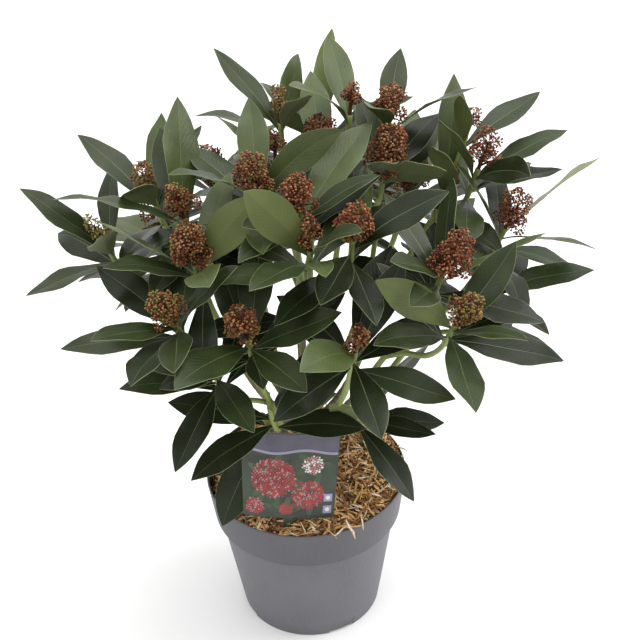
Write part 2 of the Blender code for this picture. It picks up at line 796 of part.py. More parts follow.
def twigs_of(mass, bough, rng):
    """Twigs of a mass: the straightest shoot leads, and the others fork off it."""
    root = bough.path[-1] + bough.end_way * GAP

    def straightness(number):
        return (whorl_foot(mass.shoots[number]) - root).normalized().dot(bough.end_way)

    order = sorted(range(len(mass.shoots)), key=straightness, reverse=True)
    leader = None
    twigs = {}
    for rank, number in enumerate(order):
        tip = Vector(mass.shoots[number].tip) * MM
        axis = shoot_axis(tip)
        foot = whorl_foot(mass.shoots[number])
        if leader is None:
            way, thick = bough.end_way, TWIG_RADIUS
            leader = bend = bezier(root, way, foot, axis, LEADER_POINTS)
        else:
            at = FIRST_FORK + FORK_STEP * rank + rng.uniform(0, FORK_SPREAD)
            spans = LEADER_POINTS - 1
            k = int(at * spans)
            start = leader[k].lerp(leader[k + 1], at * spans - k)
            run = (leader[k + 1] - leader[k]).normalized()
            way, thick = (run + (foot - start).normalized()).normalized(), FORK_RADIUS
            bend = bezier(start, way, foot, axis, LEADER_POINTS - 1)
        path = bend + [tip if mass.shoots[number].head else tip - axis * BUD_DEPTH]
        twigs[number] = Limb(path, taper(thick, TWIG_TIP_RADIUS, len(path)), way, axis)
    return twigs, order[0]


def head_shape(shoot, rng):
    """Vertices and faces of a flower head: a bumpy egg round the shoot's tip."""
    tip = Vector(shoot.tip) * MM
    axis = shoot_axis(tip)
    turn = axis.to_track_quat("Z", "X").to_matrix()
    bm = bmesh.new()
    bmesh.ops.create_uvsphere(bm, u_segments=HEAD_SIDES, v_segments=HEAD_RINGS, radius=1.0)
    offset = Vector((rng.uniform(0, 50), rng.uniform(0, 50), 0.0))
    half = Vector((shoot.head.width, shoot.head.width, shoot.head.height)) * (MM / 2)
    vertices = []
    for v in bm.verts:
        bump = 1.0 + HEAD_BUMP * noise.noise(v.co * HEAD_BUMP_SCALE + offset)
        vertices.append(tip + turn @ (v.co * half * bump))
    faces = [tuple(v.index for v in face.verts) for face in bm.faces]
    bm.free()
    return vertices, faces


def make_stem(collars, look):
    """Main stem with a root flare, and a collar that faces each bough."""
    path = [stem_point(STEM_TOP * share) for share, _ in STEM_PROFILE]
    radii = [radius * MM for _, radius in STEM_PROFILE]
    stem = make_object("main_stem", *tube(Limb(path, radii, UP, UP), STEM_SIDES), look)
    pieces = []
    for k, (base, out, reach) in enumerate(collars):
        radii = [COLLAR_RADIUS_AT_STEM, COLLAR_RADIUS_AT_BOUGH]
        collar = Limb([base, base + out * reach], radii, out, out)
        pieces.append(make_object(f"collar_{k}", *tube(collar, COLLAR_SIDES), look))
    boolean(stem, "UNION", pieces)
    keep_outer_body(stem)
    return stem


def mesh_shape(made):
    """World vertices and faces of an object, for the space test."""
    vertices = [made.matrix_world @ v.co for v in made.data.vertices]
    return vertices, [tuple(p.vertices) for p in made.data.polygons]


def grow(space, looks):
    """Limbs first, then aimed leaves, then the rest; each mass is fused into one body."""
    rng = random.Random(SEED)
    azimuths = bough_azimuths()
    boughs, collars = {}, []
    for name, mass in CROWN.items():
        boughs[name], collar = bough_of(mass, azimuths[name])
        collars.append(collar)
        shape = tube(boughs[name], BOUGH_SIDES)
        make_object(f"bough_{name}", *shape, looks["bark"])
        space.add(Owner(), *shape)
    stem = make_stem(collars, looks["bark"])
    space.add(Owner(), *mesh_shape(stem))
    shapes = {name: [] for name in CROWN}
    for name, mass in CROWN.items():
        twigs, lead = twigs_of(mass, boughs[name], rng)
        for number in sorted(twigs, key=lambda k: k != lead):
            shape = tube(twigs[number], TWIG_SIDES)
            shapes[name].append(shape)
            space.add(Owner(name, number), *shape)
        for number, shoot in enumerate(mass.shoots):
            if shoot.head:
                shape = head_shape(shoot, rng)
                shapes[name].append(shape)
                space.add(Owner(name, number), *shape)
                space.add(Owner(name, number, whole=False), *shape)
    blades = [pair for name, mass in CROWN.items() for number, shoot in enumerate(mass.shoots)
              for pair in wished_blades(name, number, shoot, rng)]
    placed = 0
    for aimed in (True, False):
        for was_aimed, blade in blades:
            if was_aimed != aimed:
                continue
            tips = [Vector(shoot.tip) * MM for shoot in CROWN[blade.mass].shoots]
            middle = sum(tips, Vector()) / len(tips)
            leaf = place_leaf(space, blade, middle, aimed)
            if leaf is None:
                continue
            placed += 1
            shapes[blade.mass].append(leaf.solid())
            space.add(Owner(blade.mass, blade.shoot), *leaf.solid())
            space.add(Owner(blade.mass, blade.shoot, whole=False), *leaf.solid(start=1))
    print(f"{placed} of {len(blades)} leaves placed")
    for name, parts in shapes.items():
        pieces = [make_object(f"piece_{name}", *part, looks["foliage"]) for part in parts]
        body = pieces[0]
        body.name = f"foliage_{name}"
        boolean(body, "UNION", pieces[1:], solver="MANIFOLD")
        keep_outer_body(body)


def main():
    """Builds the pot and the plant from an empty scene."""
    for thing in list(bpy.data.objects):
        bpy.data.objects.remove(thing)
    looks = materials()
    pot = make_pot(looks["pot"])
    soil = make_soil(looks["soil"])
    mulch = make_mulch(looks["mulch"])
    label = make_label(looks["label"])
    cut_label_slot(mulch, soil, looks["mulch"])
    bpy.context.view_layer.update()
    space = Space()
    for made in (pot, mulch, label):
        space.add(Owner(), *mesh_shape(made))
    grow(space, looks)


main()
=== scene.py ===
"""Looks of the potted skimmia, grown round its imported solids.

Lengths are metres and +Z is up. The shrub repeats the growth rule of its
solids, so each leaf stands where its solid one does, and carries it on to
the finer forms: curved blades with rib and margin, flower buds by the
hundred on their own stalks, bark relief and loose mulch.
"""

from __future__ import annotations

import json
import logging
import math
import random
from collections.abc import Callable, Iterable, Sequence
from dataclasses import dataclass, field, replace
from enum import Enum

import bmesh
import bpy
from mathutils import Matrix, Vector, noise
from mathutils.bvhtree import BVHTree

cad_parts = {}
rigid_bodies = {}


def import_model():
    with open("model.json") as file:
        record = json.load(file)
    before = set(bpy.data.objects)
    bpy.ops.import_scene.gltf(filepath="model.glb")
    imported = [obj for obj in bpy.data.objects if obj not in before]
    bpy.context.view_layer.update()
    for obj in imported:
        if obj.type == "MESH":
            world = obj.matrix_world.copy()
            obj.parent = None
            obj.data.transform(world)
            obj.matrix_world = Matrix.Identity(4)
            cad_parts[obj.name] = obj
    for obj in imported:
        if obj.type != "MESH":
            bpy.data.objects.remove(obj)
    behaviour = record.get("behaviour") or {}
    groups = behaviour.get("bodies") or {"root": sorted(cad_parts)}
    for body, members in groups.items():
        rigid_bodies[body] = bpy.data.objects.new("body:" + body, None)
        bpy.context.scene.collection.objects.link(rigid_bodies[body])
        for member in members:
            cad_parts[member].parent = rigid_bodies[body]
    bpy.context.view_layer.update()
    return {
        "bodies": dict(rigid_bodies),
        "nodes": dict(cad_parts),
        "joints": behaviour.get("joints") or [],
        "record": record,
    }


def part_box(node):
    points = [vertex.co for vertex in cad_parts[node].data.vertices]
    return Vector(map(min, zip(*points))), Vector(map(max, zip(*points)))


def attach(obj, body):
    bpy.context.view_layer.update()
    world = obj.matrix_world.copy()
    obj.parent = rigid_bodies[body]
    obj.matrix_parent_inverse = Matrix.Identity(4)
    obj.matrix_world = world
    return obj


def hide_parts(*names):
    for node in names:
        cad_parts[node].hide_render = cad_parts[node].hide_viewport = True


LOG = logging.getLogger("skimmia")
MM = 0.001
GAP = 0.3 * MM
UP = Vector((0.0, 0.0, 1.0))
BODY = "root"
GOLDEN_ANGLE = 137.508
SEED = 11

Pair = tuple[float, float]
Triple = tuple[float, float, float]
Colour = Triple
Face = tuple[int, ...]
Shape = tuple[list[Vector], list[Face]]
Node = bpy.types.Node
Socket = bpy.types.NodeSocket
Tree = bpy.types.NodeTree
Mesh = bpy.types.Mesh
Piece = bpy.types.Object

PATCH_EDGES = (0.32, 0.68)
SPECK_SHARE = 0.3
SWELL_SCALE = 0.22
GRAIN_SHARE = 0.4
VEIN_SLANT = 0.5
VEIN_DRIFT = 0.05
VEIN_DRIFT_SCALE = 7.0
VEIN_WIDTH = 0.30
VEIN_ENDS = (0.36, 0.47)
STREAK_SCALE = 700.0
STREAK_STRETCH = (1.0, 1.0, 0.12)
STREAK_EDGES = (0.45, 0.70)
STREAK_DEPTH = 0.5


# Shader building


@dataclass
class Board:
    """A node tree that is being built, with short ways to add and join nodes."""

    tree: Tree

    def add(self, kind: str, feeds: dict[str | int, object] | None = None, **settings: object) -> Node:
        """Adds a node.

        Args:
            kind: Blender's name of the node type.
            feeds: Sockets or plain values for its inputs, by name or number.
            **settings: Properties to set on it.

        Returns:
            The new node.
        """
        node = self.tree.nodes.new(kind)
        for name, value in settings.items():
            setattr(node, name, value)
        for name, value in (feeds or {}).items():
            self.feed(node.inputs[name], value)
        return node

    def join(self, source: Socket, target: Socket) -> None:
        """Links two sockets."""
        self.tree.links.new(source, target)

    def feed(self, target: Socket, value: object) -> None:
        """Links a socket to another, or sets it to a plain value.

        Args:
            target: The input.
            value: The socket or plain value.
        """
        if isinstance(value, Socket):
            self.join(value, target)
        elif isinstance(value, tuple) and len(value) == 3 and len(target.default_value) == 4:
            target.default_value = (*value, 1.0)
        else:
            target.default_value = value

    def math(self, operation: str, first: object, second: object = 0.0, third: object = 0.0) -> Socket:
        """Result of a Math node.

        Args:
            operation: Blender's name of the operation.
            first: First value or socket.
            second: Second value or socket.
            third: Third value or socket, for the operations that read it.

        Returns:
            The result's socket.
        """
        return self.add("ShaderNodeMath", {0: first, 1: second, 2: third}, operation=operation).outputs[0]

    def noise(self, place: Socket, scale: object, detail: float = 2.0) -> Socket:
        """Value of a Noise Texture, round 0.5.

        Args:
            place: Coordinate that it reads.
            scale: Repeats for each metre.
            detail: Octaves.

        Returns:
            The value's socket.
        """
        feeds = {"Vector": place, "Scale": scale, "Detail": detail}
        return self.add("ShaderNodeTexNoise", feeds).outputs[0]

    def ramp(self, value: Socket, low: float, high: float) -> Socket:
        """Value brought from low..high to 0..1 with soft ends.

        Args:
            value: Socket to bring into range.
            low: Value that gives 0.
            high: Value that gives 1.

        Returns:
            The result's socket.
        """
        feeds = {"Value": value, "From Min": low, "From Max": high}
        return self.add("ShaderNodeMapRange", feeds, interpolation_type="SMOOTHSTEP").outputs["Result"]

    def mix(self, share: object, first: object, second: object) -> Socket:
        """Mix of two colours.

        Args:
            share: Value or socket, 0 for the first colour.
            first: First colour or socket.
            second: Second colour or socket.

        Returns:
            The mixed colour's socket.
        """
        return self.add("ShaderNodeMix", {0: share, 6: first, 7: second}, data_type="RGBA").outputs[2]


def shader_group(name: str, inputs: dict[str, object], outputs: dict[str, str],
                 fill: Callable[[Board, Node, Node], None]) -> Tree:
    """Shader node group, built once.

    Args:
        name: The group's name.
        inputs: Socket names and their default values, a colour where that is a tuple.
        outputs: Socket names and their socket types.
        fill: Function that joins the group's own nodes.

    Returns:
        The group's node tree.
    """
    found = bpy.data.node_groups.get(name)
    if found:
        return found
    tree = bpy.data.node_groups.new(name, "ShaderNodeTree")
    for label, value in inputs.items():
        coloured = isinstance(value, tuple)
        kind = "NodeSocketColor" if coloured else "NodeSocketFloat"
        made = tree.interface.new_socket(name=label, in_out="INPUT", socket_type=kind)
        made.default_value = (*value, 1.0) if coloured else value
    for label, kind in outputs.items():
        tree.interface.new_socket(name=label, in_out="OUTPUT", socket_type=kind)
    board = Board(tree)
    fill(board, board.add("NodeGroupInput"), board.add("NodeGroupOutput"))
    return tree


def fill_mottling(board: Board, given: Node, out: Node) -> None:
    """Two colours in soft patches, with a speckle of the second.

    Args:
        board: The group's nodes.
        given: Its input node.
        out: Its output node.
    """
    place = board.add("ShaderNodeTexCoord").outputs["Object"]
    patches = board.ramp(board.noise(place, given.outputs["Patches"], 3.0), *PATCH_EDGES)
    specks = board.math("MULTIPLY", board.noise(place, given.outputs["Specks"], 4.0), SPECK_SHARE)
    blend = board.math("ADD", board.math("MULTIPLY", patches, 1 - SPECK_SHARE), specks)
    board.join(board.mix(blend, given.outputs["First"], given.outputs["Second"]), out.inputs["Colour"])
    board.join(blend, out.inputs["Mask"])


def fill_grain(board: Board, given: Node, out: Node) -> None:
    """Fine relief: a coarse swell with a finer grain on it.

    Args:
        board: The group's nodes.
        given: Its input node.
        out: Its output node.
    """
    place = board.add("ShaderNodeTexCoord").outputs["Object"]
    swell = board.noise(place, board.math("MULTIPLY", given.outputs["Scale"], SWELL_SCALE), 2.0)
    fine = board.math("MULTIPLY", board.noise(place, given.outputs["Scale"], 4.0), GRAIN_SHARE)
    board.join(board.math("MULTIPLY_ADD", swell, 1 - GRAIN_SHARE, fine), out.inputs["Height"])


def fill_veins(board: Board, given: Node, out: Node) -> None:
    """Side veins that leave the rib at a slant, from the blade's own UV map.

    Args:
        board: The group's nodes.
        given: Its input node.
        out: Its output node.
    """
    place = board.add("ShaderNodeUVMap", uv_map="blade").outputs["UV"]
    parts = board.add("ShaderNodeSeparateXYZ", {0: place}).outputs
    across = board.math("ABSOLUTE", board.math("SUBTRACT", parts["Y"], 0.5))
    drift = board.math("MULTIPLY", board.noise(place, VEIN_DRIFT_SCALE, 1.0), VEIN_DRIFT)
    slanted = board.math("SUBTRACT", parts["X"], board.math("MULTIPLY", across, VEIN_SLANT))
    count = board.math("MULTIPLY", board.math("ADD", slanted, drift), given.outputs["Count"])
    wave = board.math("ABSOLUTE", board.math("SINE", board.math("MULTIPLY", count, math.tau)))
    line = board.math("SUBTRACT", 1.0, board.ramp(wave, 0.0, VEIN_WIDTH))
    inside = board.math("SUBTRACT", 1.0, board.ramp(across, *VEIN_ENDS))
    board.join(board.math("MULTIPLY", line, inside), out.inputs["Mask"])


MOTTLING = dict(
    inputs={"First": (0.1, 0.1, 0.1), "Second": (0.2, 0.2, 0.2), "Patches": 40.0, "Specks": 600.0},
    outputs={"Colour": "NodeSocketColor", "Mask": "NodeSocketFloat"}, fill=fill_mottling)
GRAIN = dict(inputs={"Scale": 900.0}, outputs={"Height": "NodeSocketFloat"}, fill=fill_grain)
VEINS = dict(inputs={"Count": 9.0}, outputs={"Mask": "NodeSocketFloat"}, fill=fill_veins)


@dataclass(frozen=True)
class Finish:
    """A surface finish: two close colours in patches, and a fine relief."""

    name: str
    colour: Colour
    second: Colour
    roughness: float = 0.6
    rougher: float = 0.1
    specular: float = 0.5
    patches: float = 40.0
    specks: float = 500.0
    grain: float = 900.0
    relief: float = 0.12

    def group(self, board: Board, label: str, recipe: dict, **values: object) -> Node:
        """Puts a shared node group in the material.

        Args:
            board: The material's nodes.
            label: The group's name.
            recipe: How the group is built.
            **values: Values for its inputs.

        Returns:
            The group node.
        """
        return board.add("ShaderNodeGroup", values, node_tree=shader_group(label, **recipe))

    def detail(self, board: Board, colour: Socket, height: Socket) -> tuple[Socket, Socket]:
        """What a kind of finish adds to the plain colour and relief: nothing here."""
        return colour, height

    def build(self) -> bpy.types.Material:
        """The finish as a material, made on first use.

        Returns:
            The material.
        """
        found = bpy.data.materials.get(self.name)
        if found:
            return found
        made = bpy.data.materials.new(self.name)
        made.use_nodes = True
        made.diffuse_color = (*self.colour, 1.0)
        board = Board(made.node_tree)
        mottling = self.group(board, "mottling", MOTTLING, First=self.colour, Second=self.second,
                              Patches=self.patches, Specks=self.specks)
        grain = self.group(board, "grain", GRAIN, Scale=self.grain)
        colour, height = self.detail(board, mottling.outputs["Colour"], grain.outputs["Height"])
        bump = board.add("ShaderNodeBump", {"Strength": self.relief, "Distance": 1 * MM, "Height": height})
        feeds = {"Base Color": colour, "Specular IOR Level": self.specular,
                 "Roughness": board.math("MULTIPLY_ADD", mottling.outputs["Mask"], self.rougher,
                                         self.roughness),
                 "Normal": bump.outputs["Normal"]}
        for name, value in feeds.items():
            board.feed(made.node_tree.nodes["Principled BSDF"].inputs[name], value)
        return made


@dataclass(frozen=True)
class LeafFinish(Finish):
    """A leaf's side, with side veins in its colour and relief."""

    vein: Colour = (0.06, 0.10, 0.04)
    vein_share: float = 0.5
    vein_height: float = -0.5

    def detail(self, board: Board, colour: Socket, height: Socket) -> tuple[Socket, Socket]:
        """Adds the veins.

        Args:
            board: The material's nodes.
            colour: The plain colour.
            height: The plain relief.

        Returns:
            Colour and relief with veins in them.
        """
        veins = self.group(board, "veins", VEINS).outputs["Mask"]
        share = board.math("MULTIPLY", veins, self.vein_share)
        raised = board.math("ADD", height, board.math("MULTIPLY", veins, self.vein_height))
        return board.mix(share, colour, self.vein), raised


@dataclass(frozen=True)
class StreakedFinish(Finish):
    """Bark, wood, a green stem or scuffed plastic, streaked along its height."""

    streak: Colour = (0.12, 0.09, 0.05)
    streak_share: float = 0.6

    def detail(self, board: Board, colour: Socket, height: Socket) -> tuple[Socket, Socket]:
        """Adds lengthwise streaks.

        Args:
            board: The material's nodes.
            colour: The plain colour.
            height: The plain relief.

        Returns:
            Colour and relief with streaks in them.
        """
        place = board.add("ShaderNodeTexCoord").outputs["Object"]
        squeezed = board.add("ShaderNodeMapping", {"Vector": place, "Scale": STREAK_STRETCH})
        streaks = board.ramp(board.noise(squeezed.outputs["Vector"], STREAK_SCALE, 3.0), *STREAK_EDGES)
        share = board.math("MULTIPLY", streaks, self.streak_share)
        lowered = board.math("SUBTRACT", height, board.math("MULTIPLY", streaks, STREAK_DEPTH))
        return board.mix(share, colour, self.streak), lowered


LEAF_TOP = dict(patches=45.0, grain=420.0, relief=0.32)
LEAF_UNDER = dict(specular=0.3, patches=24.0, vein_height=0.6)
BUD_SKIN = dict(specular=0.3, patches=110.0)
PLASTIC = dict(rougher=0.2, specular=0.45, patches=22.0, specks=900.0, grain=1400.0, relief=0.16)
SPLINTER = dict(patches=60.0, relief=0.5)
PRINT = dict(relief=0.03)


class LeafTint(Enum):
    """Colour of a leaf's upper side: lighter on young leaves, and dealt darker to leaves low in the crown
    and deep inside it as painted shade.
    """

    DEEP = LeafFinish("leaf_deep", (0.0085, 0.0130, 0.0040), (0.0145, 0.0220, 0.0065), 0.30,
                      specular=0.24, vein=(0.022, 0.034, 0.014), **LEAF_TOP)
    DARK = LeafFinish("leaf_dark", (0.0165, 0.0255, 0.0068), (0.0290, 0.0420, 0.0112), 0.32,
                      specular=0.28, vein=(0.038, 0.056, 0.020), **LEAF_TOP)
    MID = LeafFinish("leaf_mid", (0.0420, 0.0600, 0.0150), (0.0640, 0.0870, 0.0230), 0.34,
                     specular=0.38, vein=(0.080, 0.105, 0.034), **LEAF_TOP)
    FRESH = LeafFinish("leaf_fresh", (0.0900, 0.1200, 0.0260), (0.1250, 0.1580, 0.0400), 0.38,
                       specular=0.42, vein=(0.165, 0.200, 0.065), **LEAF_TOP)


class UnderTint(Enum):
    """Colour of a leaf's under side."""

    OLIVE = LeafFinish("leaf_under_olive", (0.088, 0.112, 0.034), (0.125, 0.150, 0.048), 0.55,
                       vein=(0.065, 0.095, 0.030), **LEAF_UNDER)
    # Pale under side: a real paler tone, made brighter still as a painted sheen.
    PALE = LeafFinish("leaf_under_pale", (0.185, 0.215, 0.105), (0.235, 0.265, 0.140), 0.58,
                      vein=(0.15, 0.185, 0.080), **LEAF_UNDER)


class BudTint(Enum):
    """Colour of a flower bud."""

    DARK = Finish("bud_dark", (0.070, 0.014, 0.005), (0.120, 0.034, 0.012), 0.36, **BUD_SKIN)
    RED = Finish("bud_red", (0.155, 0.036, 0.012), (0.270, 0.085, 0.032), 0.36, **BUD_SKIN)
    RUST = Finish("bud_rust", (0.280, 0.115, 0.036), (0.440, 0.230, 0.105), 0.40, **BUD_SKIN)
    OLIVE = Finish("bud_olive", (0.165, 0.125, 0.028), (0.240, 0.185, 0.050), 0.42, **BUD_SKIN)
    STRAW = Finish("bud_straw", (0.300, 0.260, 0.080), (0.400, 0.350, 0.125), 0.45, patches=110.0)


class WoodTint(Enum):
    """Colour of a splinter of mulch."""

    GOLDEN = StreakedFinish("splinter_golden", (0.590, 0.320, 0.108), (0.760, 0.480, 0.215), 0.8,
                            streak=(0.240, 0.125, 0.045), **SPLINTER)
    BROWN = StreakedFinish("splinter_brown", (0.240, 0.096, 0.028), (0.360, 0.165, 0.056), 0.85,
                           streak=(0.110, 0.052, 0.020), **SPLINTER)
    DARK = StreakedFinish("splinter_dark", (0.062, 0.027, 0.009), (0.115, 0.054, 0.018), 0.9,
                          streak=(0.025, 0.014, 0.008), **SPLINTER)
    PALE = StreakedFinish("splinter_pale", (0.800, 0.640, 0.430), (0.880, 0.760, 0.560), 0.8,
                          streak=(0.400, 0.260, 0.130), **SPLINTER)


RIB = Finish("leaf_rib", (0.075, 0.115, 0.042), (0.100, 0.145, 0.055), 0.45)
MARGIN = Finish("leaf_margin", (0.150, 0.200, 0.080), (0.190, 0.240, 0.100), 0.5)
STEM_GREEN = StreakedFinish("green_stem", (0.190, 0.235, 0.055), (0.250, 0.295, 0.085), 0.45,
                            streak=(0.095, 0.120, 0.035), streak_share=0.45)
BARK = StreakedFinish("woody_bark", (0.165, 0.150, 0.065), (0.230, 0.200, 0.100), 0.75, relief=0.5,
                      streak=(0.075, 0.060, 0.035))
# Dark red bud stalks, darkened further as painted shade in the gaps between the buds.
STALK = Finish("bud_stalk", (0.060, 0.014, 0.006), (0.105, 0.034, 0.012), 0.5, specular=0.3)
POT_PLASTIC = StreakedFinish("pot_body", (0.110, 0.107, 0.120), (0.150, 0.147, 0.162), 0.44,
                             streak=(0.168, 0.165, 0.180), streak_share=0.28, **PLASTIC)
POT_COLLAR = StreakedFinish("pot_collar", (0.078, 0.076, 0.086), (0.104, 0.102, 0.114), 0.44,
                            streak=(0.118, 0.116, 0.128), streak_share=0.25, **PLASTIC)
POT_INSIDE = Finish("pot_inside", (0.030, 0.029, 0.030), (0.050, 0.046, 0.042), 0.7)
SOIL = Finish("growing_medium", (0.022, 0.014, 0.009), (0.050, 0.032, 0.020), 0.95, specks=900.0,
              relief=0.9)
MULCH_BED = Finish("mulch_bed", (0.105, 0.050, 0.014), (0.200, 0.105, 0.034), 0.95, patches=110.0,
                   relief=0.9)
CARD_FIELD = Finish("card_field", (0.014, 0.022, 0.014), (0.044, 0.066, 0.034), 0.25, patches=60.0, **PRINT)
CARD_BAND = Finish("card_band", (0.070, 0.064, 0.092), (0.125, 0.116, 0.160), 0.25, **PRINT)
CARD_WAVE = Finish("card_wave", (0.300, 0.280, 0.400), (0.340, 0.310, 0.440), 0.28, **PRINT)
CARD_BACK = Finish("card_back", (0.560, 0.560, 0.580), (0.600, 0.600, 0.620), 0.35, **PRINT)
CARD_BERRY = Finish("card_berry", (0.300, 0.010, 0.022), (0.500, 0.040, 0.052), 0.28, patches=160.0,
                    **PRINT)
CARD_PINK = Finish("card_pink", (0.400, 0.120, 0.140), (0.540, 0.230, 0.230), 0.28, patches=160.0, **PRINT)
CARD_LEAF = Finish("card_leaf", (0.040, 0.066, 0.034), (0.070, 0.105, 0.052), 0.28, **PRINT)
CARD_LAVENDER = Finish("card_lavender", (0.300, 0.270, 0.480), (0.340, 0.310, 0.520), 0.28, **PRINT)
CARD_CREAM = Finish("card_cream", (0.780, 0.740, 0.700), (0.840, 0.800, 0.760), 0.3, **PRINT)
CARD_TINTS = (CARD_FIELD, CARD_BAND, CARD_WAVE, CARD_BACK, CARD_BERRY, CARD_PINK, CARD_LEAF,
              CARD_LAVENDER, CARD_CREAM)


# Meshes


@dataclass
class Build:
    """Vertices and faces that are gathered for one piece, with a material for each face."""

    finishes: Sequence[Finish]
    vertices: list[Vector] = field(default_factory=list)
    faces: list[Face] = field(default_factory=list)
    looks: list[int] = field(default_factory=list)
    places: list[Pair] = field(default_factory=list)

    def add(self, vertices: Sequence[Vector], faces: Iterable[Face], finish: Finish,
            places: Sequence[Pair] | None = None) -> None:
        """Adds a closed shape.

        Args:
            vertices: Its points.
            faces: Its faces, facing outward.
            finish: Its finish.
            places: Its UV places, one for each point.
        """
        first = len(self.vertices)
        self.vertices += vertices
        self.places += places or [(0.0, 0.0)] * len(vertices)
        self.cover(faces, finish, first)

    def cover(self, faces: Iterable[Face], finish: Finish, first: int = 0) -> None:
        """Adds faces over points that are there already.

        Args:
            faces: The faces, facing outward.
            finish: Their finish.
            first: Number of the point that they count from.
        """
        look = self.finishes.index(finish)
        for face in faces:
            self.faces.append(tuple(first + k for k in face))
            self.looks.append(look)

    def piece(self, name: str, smooth_angle: float = 180.0, outward: bool = False) -> Piece:
        """Makes the piece.

        Args:
            name: Its name.
            smooth_angle: Edges sharper than this many degrees stay sharp.
            outward: Whether its normals are worked out again.

        Returns:
            The new object.
        """
        mesh = bpy.data.meshes.new(name)
        mesh.from_pydata([tuple(v) for v in self.vertices], [], self.faces)
        for finish in self.finishes:
            mesh.materials.append(finish.build())
        mesh.polygons.foreach_set("material_index", self.looks)
        layer = mesh.uv_layers.new(name="blade")
        spots = [c for loop in mesh.loops for c in self.places[loop.vertex_index]]
        layer.data.foreach_set("uv", spots)
        if outward:
            turn_outward(mesh)
        mesh.shade_smooth()
        if smooth_angle < 180.0:
            mesh.set_sharp_from_angle(angle=math.radians(smooth_angle))
        return placed(name, mesh)


def placed(name: str, data: bpy.types.ID) -> Piece:
    """New object in the scene.

    Args:
        name: The object's name.
        data: Its mesh, camera or light.

    Returns:
        The object.
    """
    made = bpy.data.objects.new(name, data)
    bpy.context.scene.collection.objects.link(made)
    return made


def turn_outward(mesh: Mesh) -> None:
    """Turns a closed mesh's faces outward.

    Args:
        mesh: The mesh.
    """
    bm = bmesh.new()
    bm.from_mesh(mesh)
    bmesh.ops.recalc_face_normals(bm, faces=bm.faces)
    bm.to_mesh(mesh)
    bm.free()


def ring_points(radius: float, height: float, count: int, shift: float = 0.0) -> list[Vector]:
    """Points round the Z axis.

    Args:
        radius: Their distance from it.
        height: Their height.
        count: Number of points.
        shift: Their turn, as a share of the step between them.

    Returns:
        The points.
    """
    turns = [math.tau * (k + shift) / count for k in range(count)]
    return [Vector((radius * math.cos(a), radius * math.sin(a), height)) for a in turns]


def ring_faces(rows: int, count: int) -> list[Face]:
    """Faces between rings of points, ring by ring.

    Args:
        rows: Number of rings.
        count: Points in each.

    Returns:
        The faces, open at both ends.
    """
    pairs = [(row * count + k, row * count + (k + 1) % count)
             for row in range(rows - 1) for k in range(count)]
    return [(a, b, b + count, a + count) for a, b in pairs]


def slab_faces(count: int) -> list[Face]:
    """Faces of a slab, whose front outline's points come before those of its back.

    Args:
        count: Corners of its outline.

    Returns:
        The faces.
    """
    rim = [(k, k + count, (k + 1) % count + count, (k + 1) % count) for k in range(count)]
    return [tuple(range(count)), tuple(reversed(range(count, 2 * count))), *rim]


def finished(made: Piece) -> Piece:
    """Applies an object's modifiers to its mesh.

    Args:
        made: The object.

    Returns:
        The same object with a plain mesh.
    """
    graph = bpy.context.evaluated_depsgraph_get()
    mesh = bpy.data.meshes.new_from_object(made.evaluated_get(graph))
    made.modifiers.clear()
    made.data = mesh
    return made


def hand_over(made: Piece, nodes: Iterable[str] = ()) -> None:
    """Lets a piece ride on the body and stand for its solids.

    Args:
        made: The piece.
        nodes: Solids that it replaces.
    """
    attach(made, BODY)
    if nodes:
        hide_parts(*nodes)
    LOG.info("%s: %d triangles", made.name, sum(len(p.vertices) - 2 for p in made.data.polygons))


# The shrub's plan, the same rule as its solids follow


@dataclass(frozen=True)
class Head:
    """Flower head: width and height in millimetres, its buds' colours and how open it is."""

    width: float
    height: float
    tints: tuple[BudTint, ...] = ()
    opened: float = 0.0

    def dressed(self, tints: tuple[BudTint, ...], opened: float = 0.0) -> Head:
        """The same size of head with other buds.

        Args:
            tints: The buds' colours.
            opened: How open the head is, from 0 to 1.

        Returns:
            The head.
        """
        return Head(self.width, self.height, tints, opened)


@dataclass(frozen=True)
class Shoot:
    """Leafy shoot: where its head or bud is, and the leaves that show best.

    An aim is a leaf's azimuth and rise in degrees and its length, seen from
    the whorl. The rest of the whorl is dealt out from it by the golden angle.
    """

    tip: Triple
    aims: tuple[Triple, ...] = ()
    leaves: int = 8
    head: Head | None = None

    def place(self) -> Vector:
        """The shoot's end as a point."""
        return Vector(self.tip) * MM


@dataclass(frozen=True)
class Mass:
    """One mass of foliage, on a bough of its own from one tier of the stem."""

    tier: int
    shoots: tuple[Shoot, ...]


@dataclass
class Limb:
    """A tapering limb along a path, which it leaves and ends along two directions."""

    path: list[Vector]
    radii: list[float]
    start_way: Vector
    end_way: Vector


DENSE = Head(41, 46)
ROUND = Head(36, 38)
SLIM = Head(24, 40)
SMALL = Head(22, 24)
LARGE = Head(46, 54)
RED_BUDS = (BudTint.DARK, BudTint.RED, BudTint.RED, BudTint.RED, BudTint.RUST)
BROWN_BUDS = (BudTint.DARK, BudTint.RUST, BudTint.RED, BudTint.RUST, BudTint.RUST)
RUST_BUDS = (BudTint.DARK, BudTint.RED, BudTint.RED, BudTint.RUST, BudTint.OLIVE)
OLIVE_BUDS = (BudTint.RED, BudTint.RUST, BudTint.OLIVE, BudTint.OLIVE, BudTint.OLIVE)
STRAW_BUDS = (BudTint.OLIVE, BudTint.STRAW, BudTint.OLIVE, BudTint.STRAW)


def direction(azimuth: float, rise: float) -> Vector:
    """Unit vector from an azimuth and a rise in degrees."""
    a, r = math.radians(azimuth), math.radians(rise)
    return Vector((math.cos(r) * math.cos(a), math.cos(r) * math.sin(a), math.sin(r)))


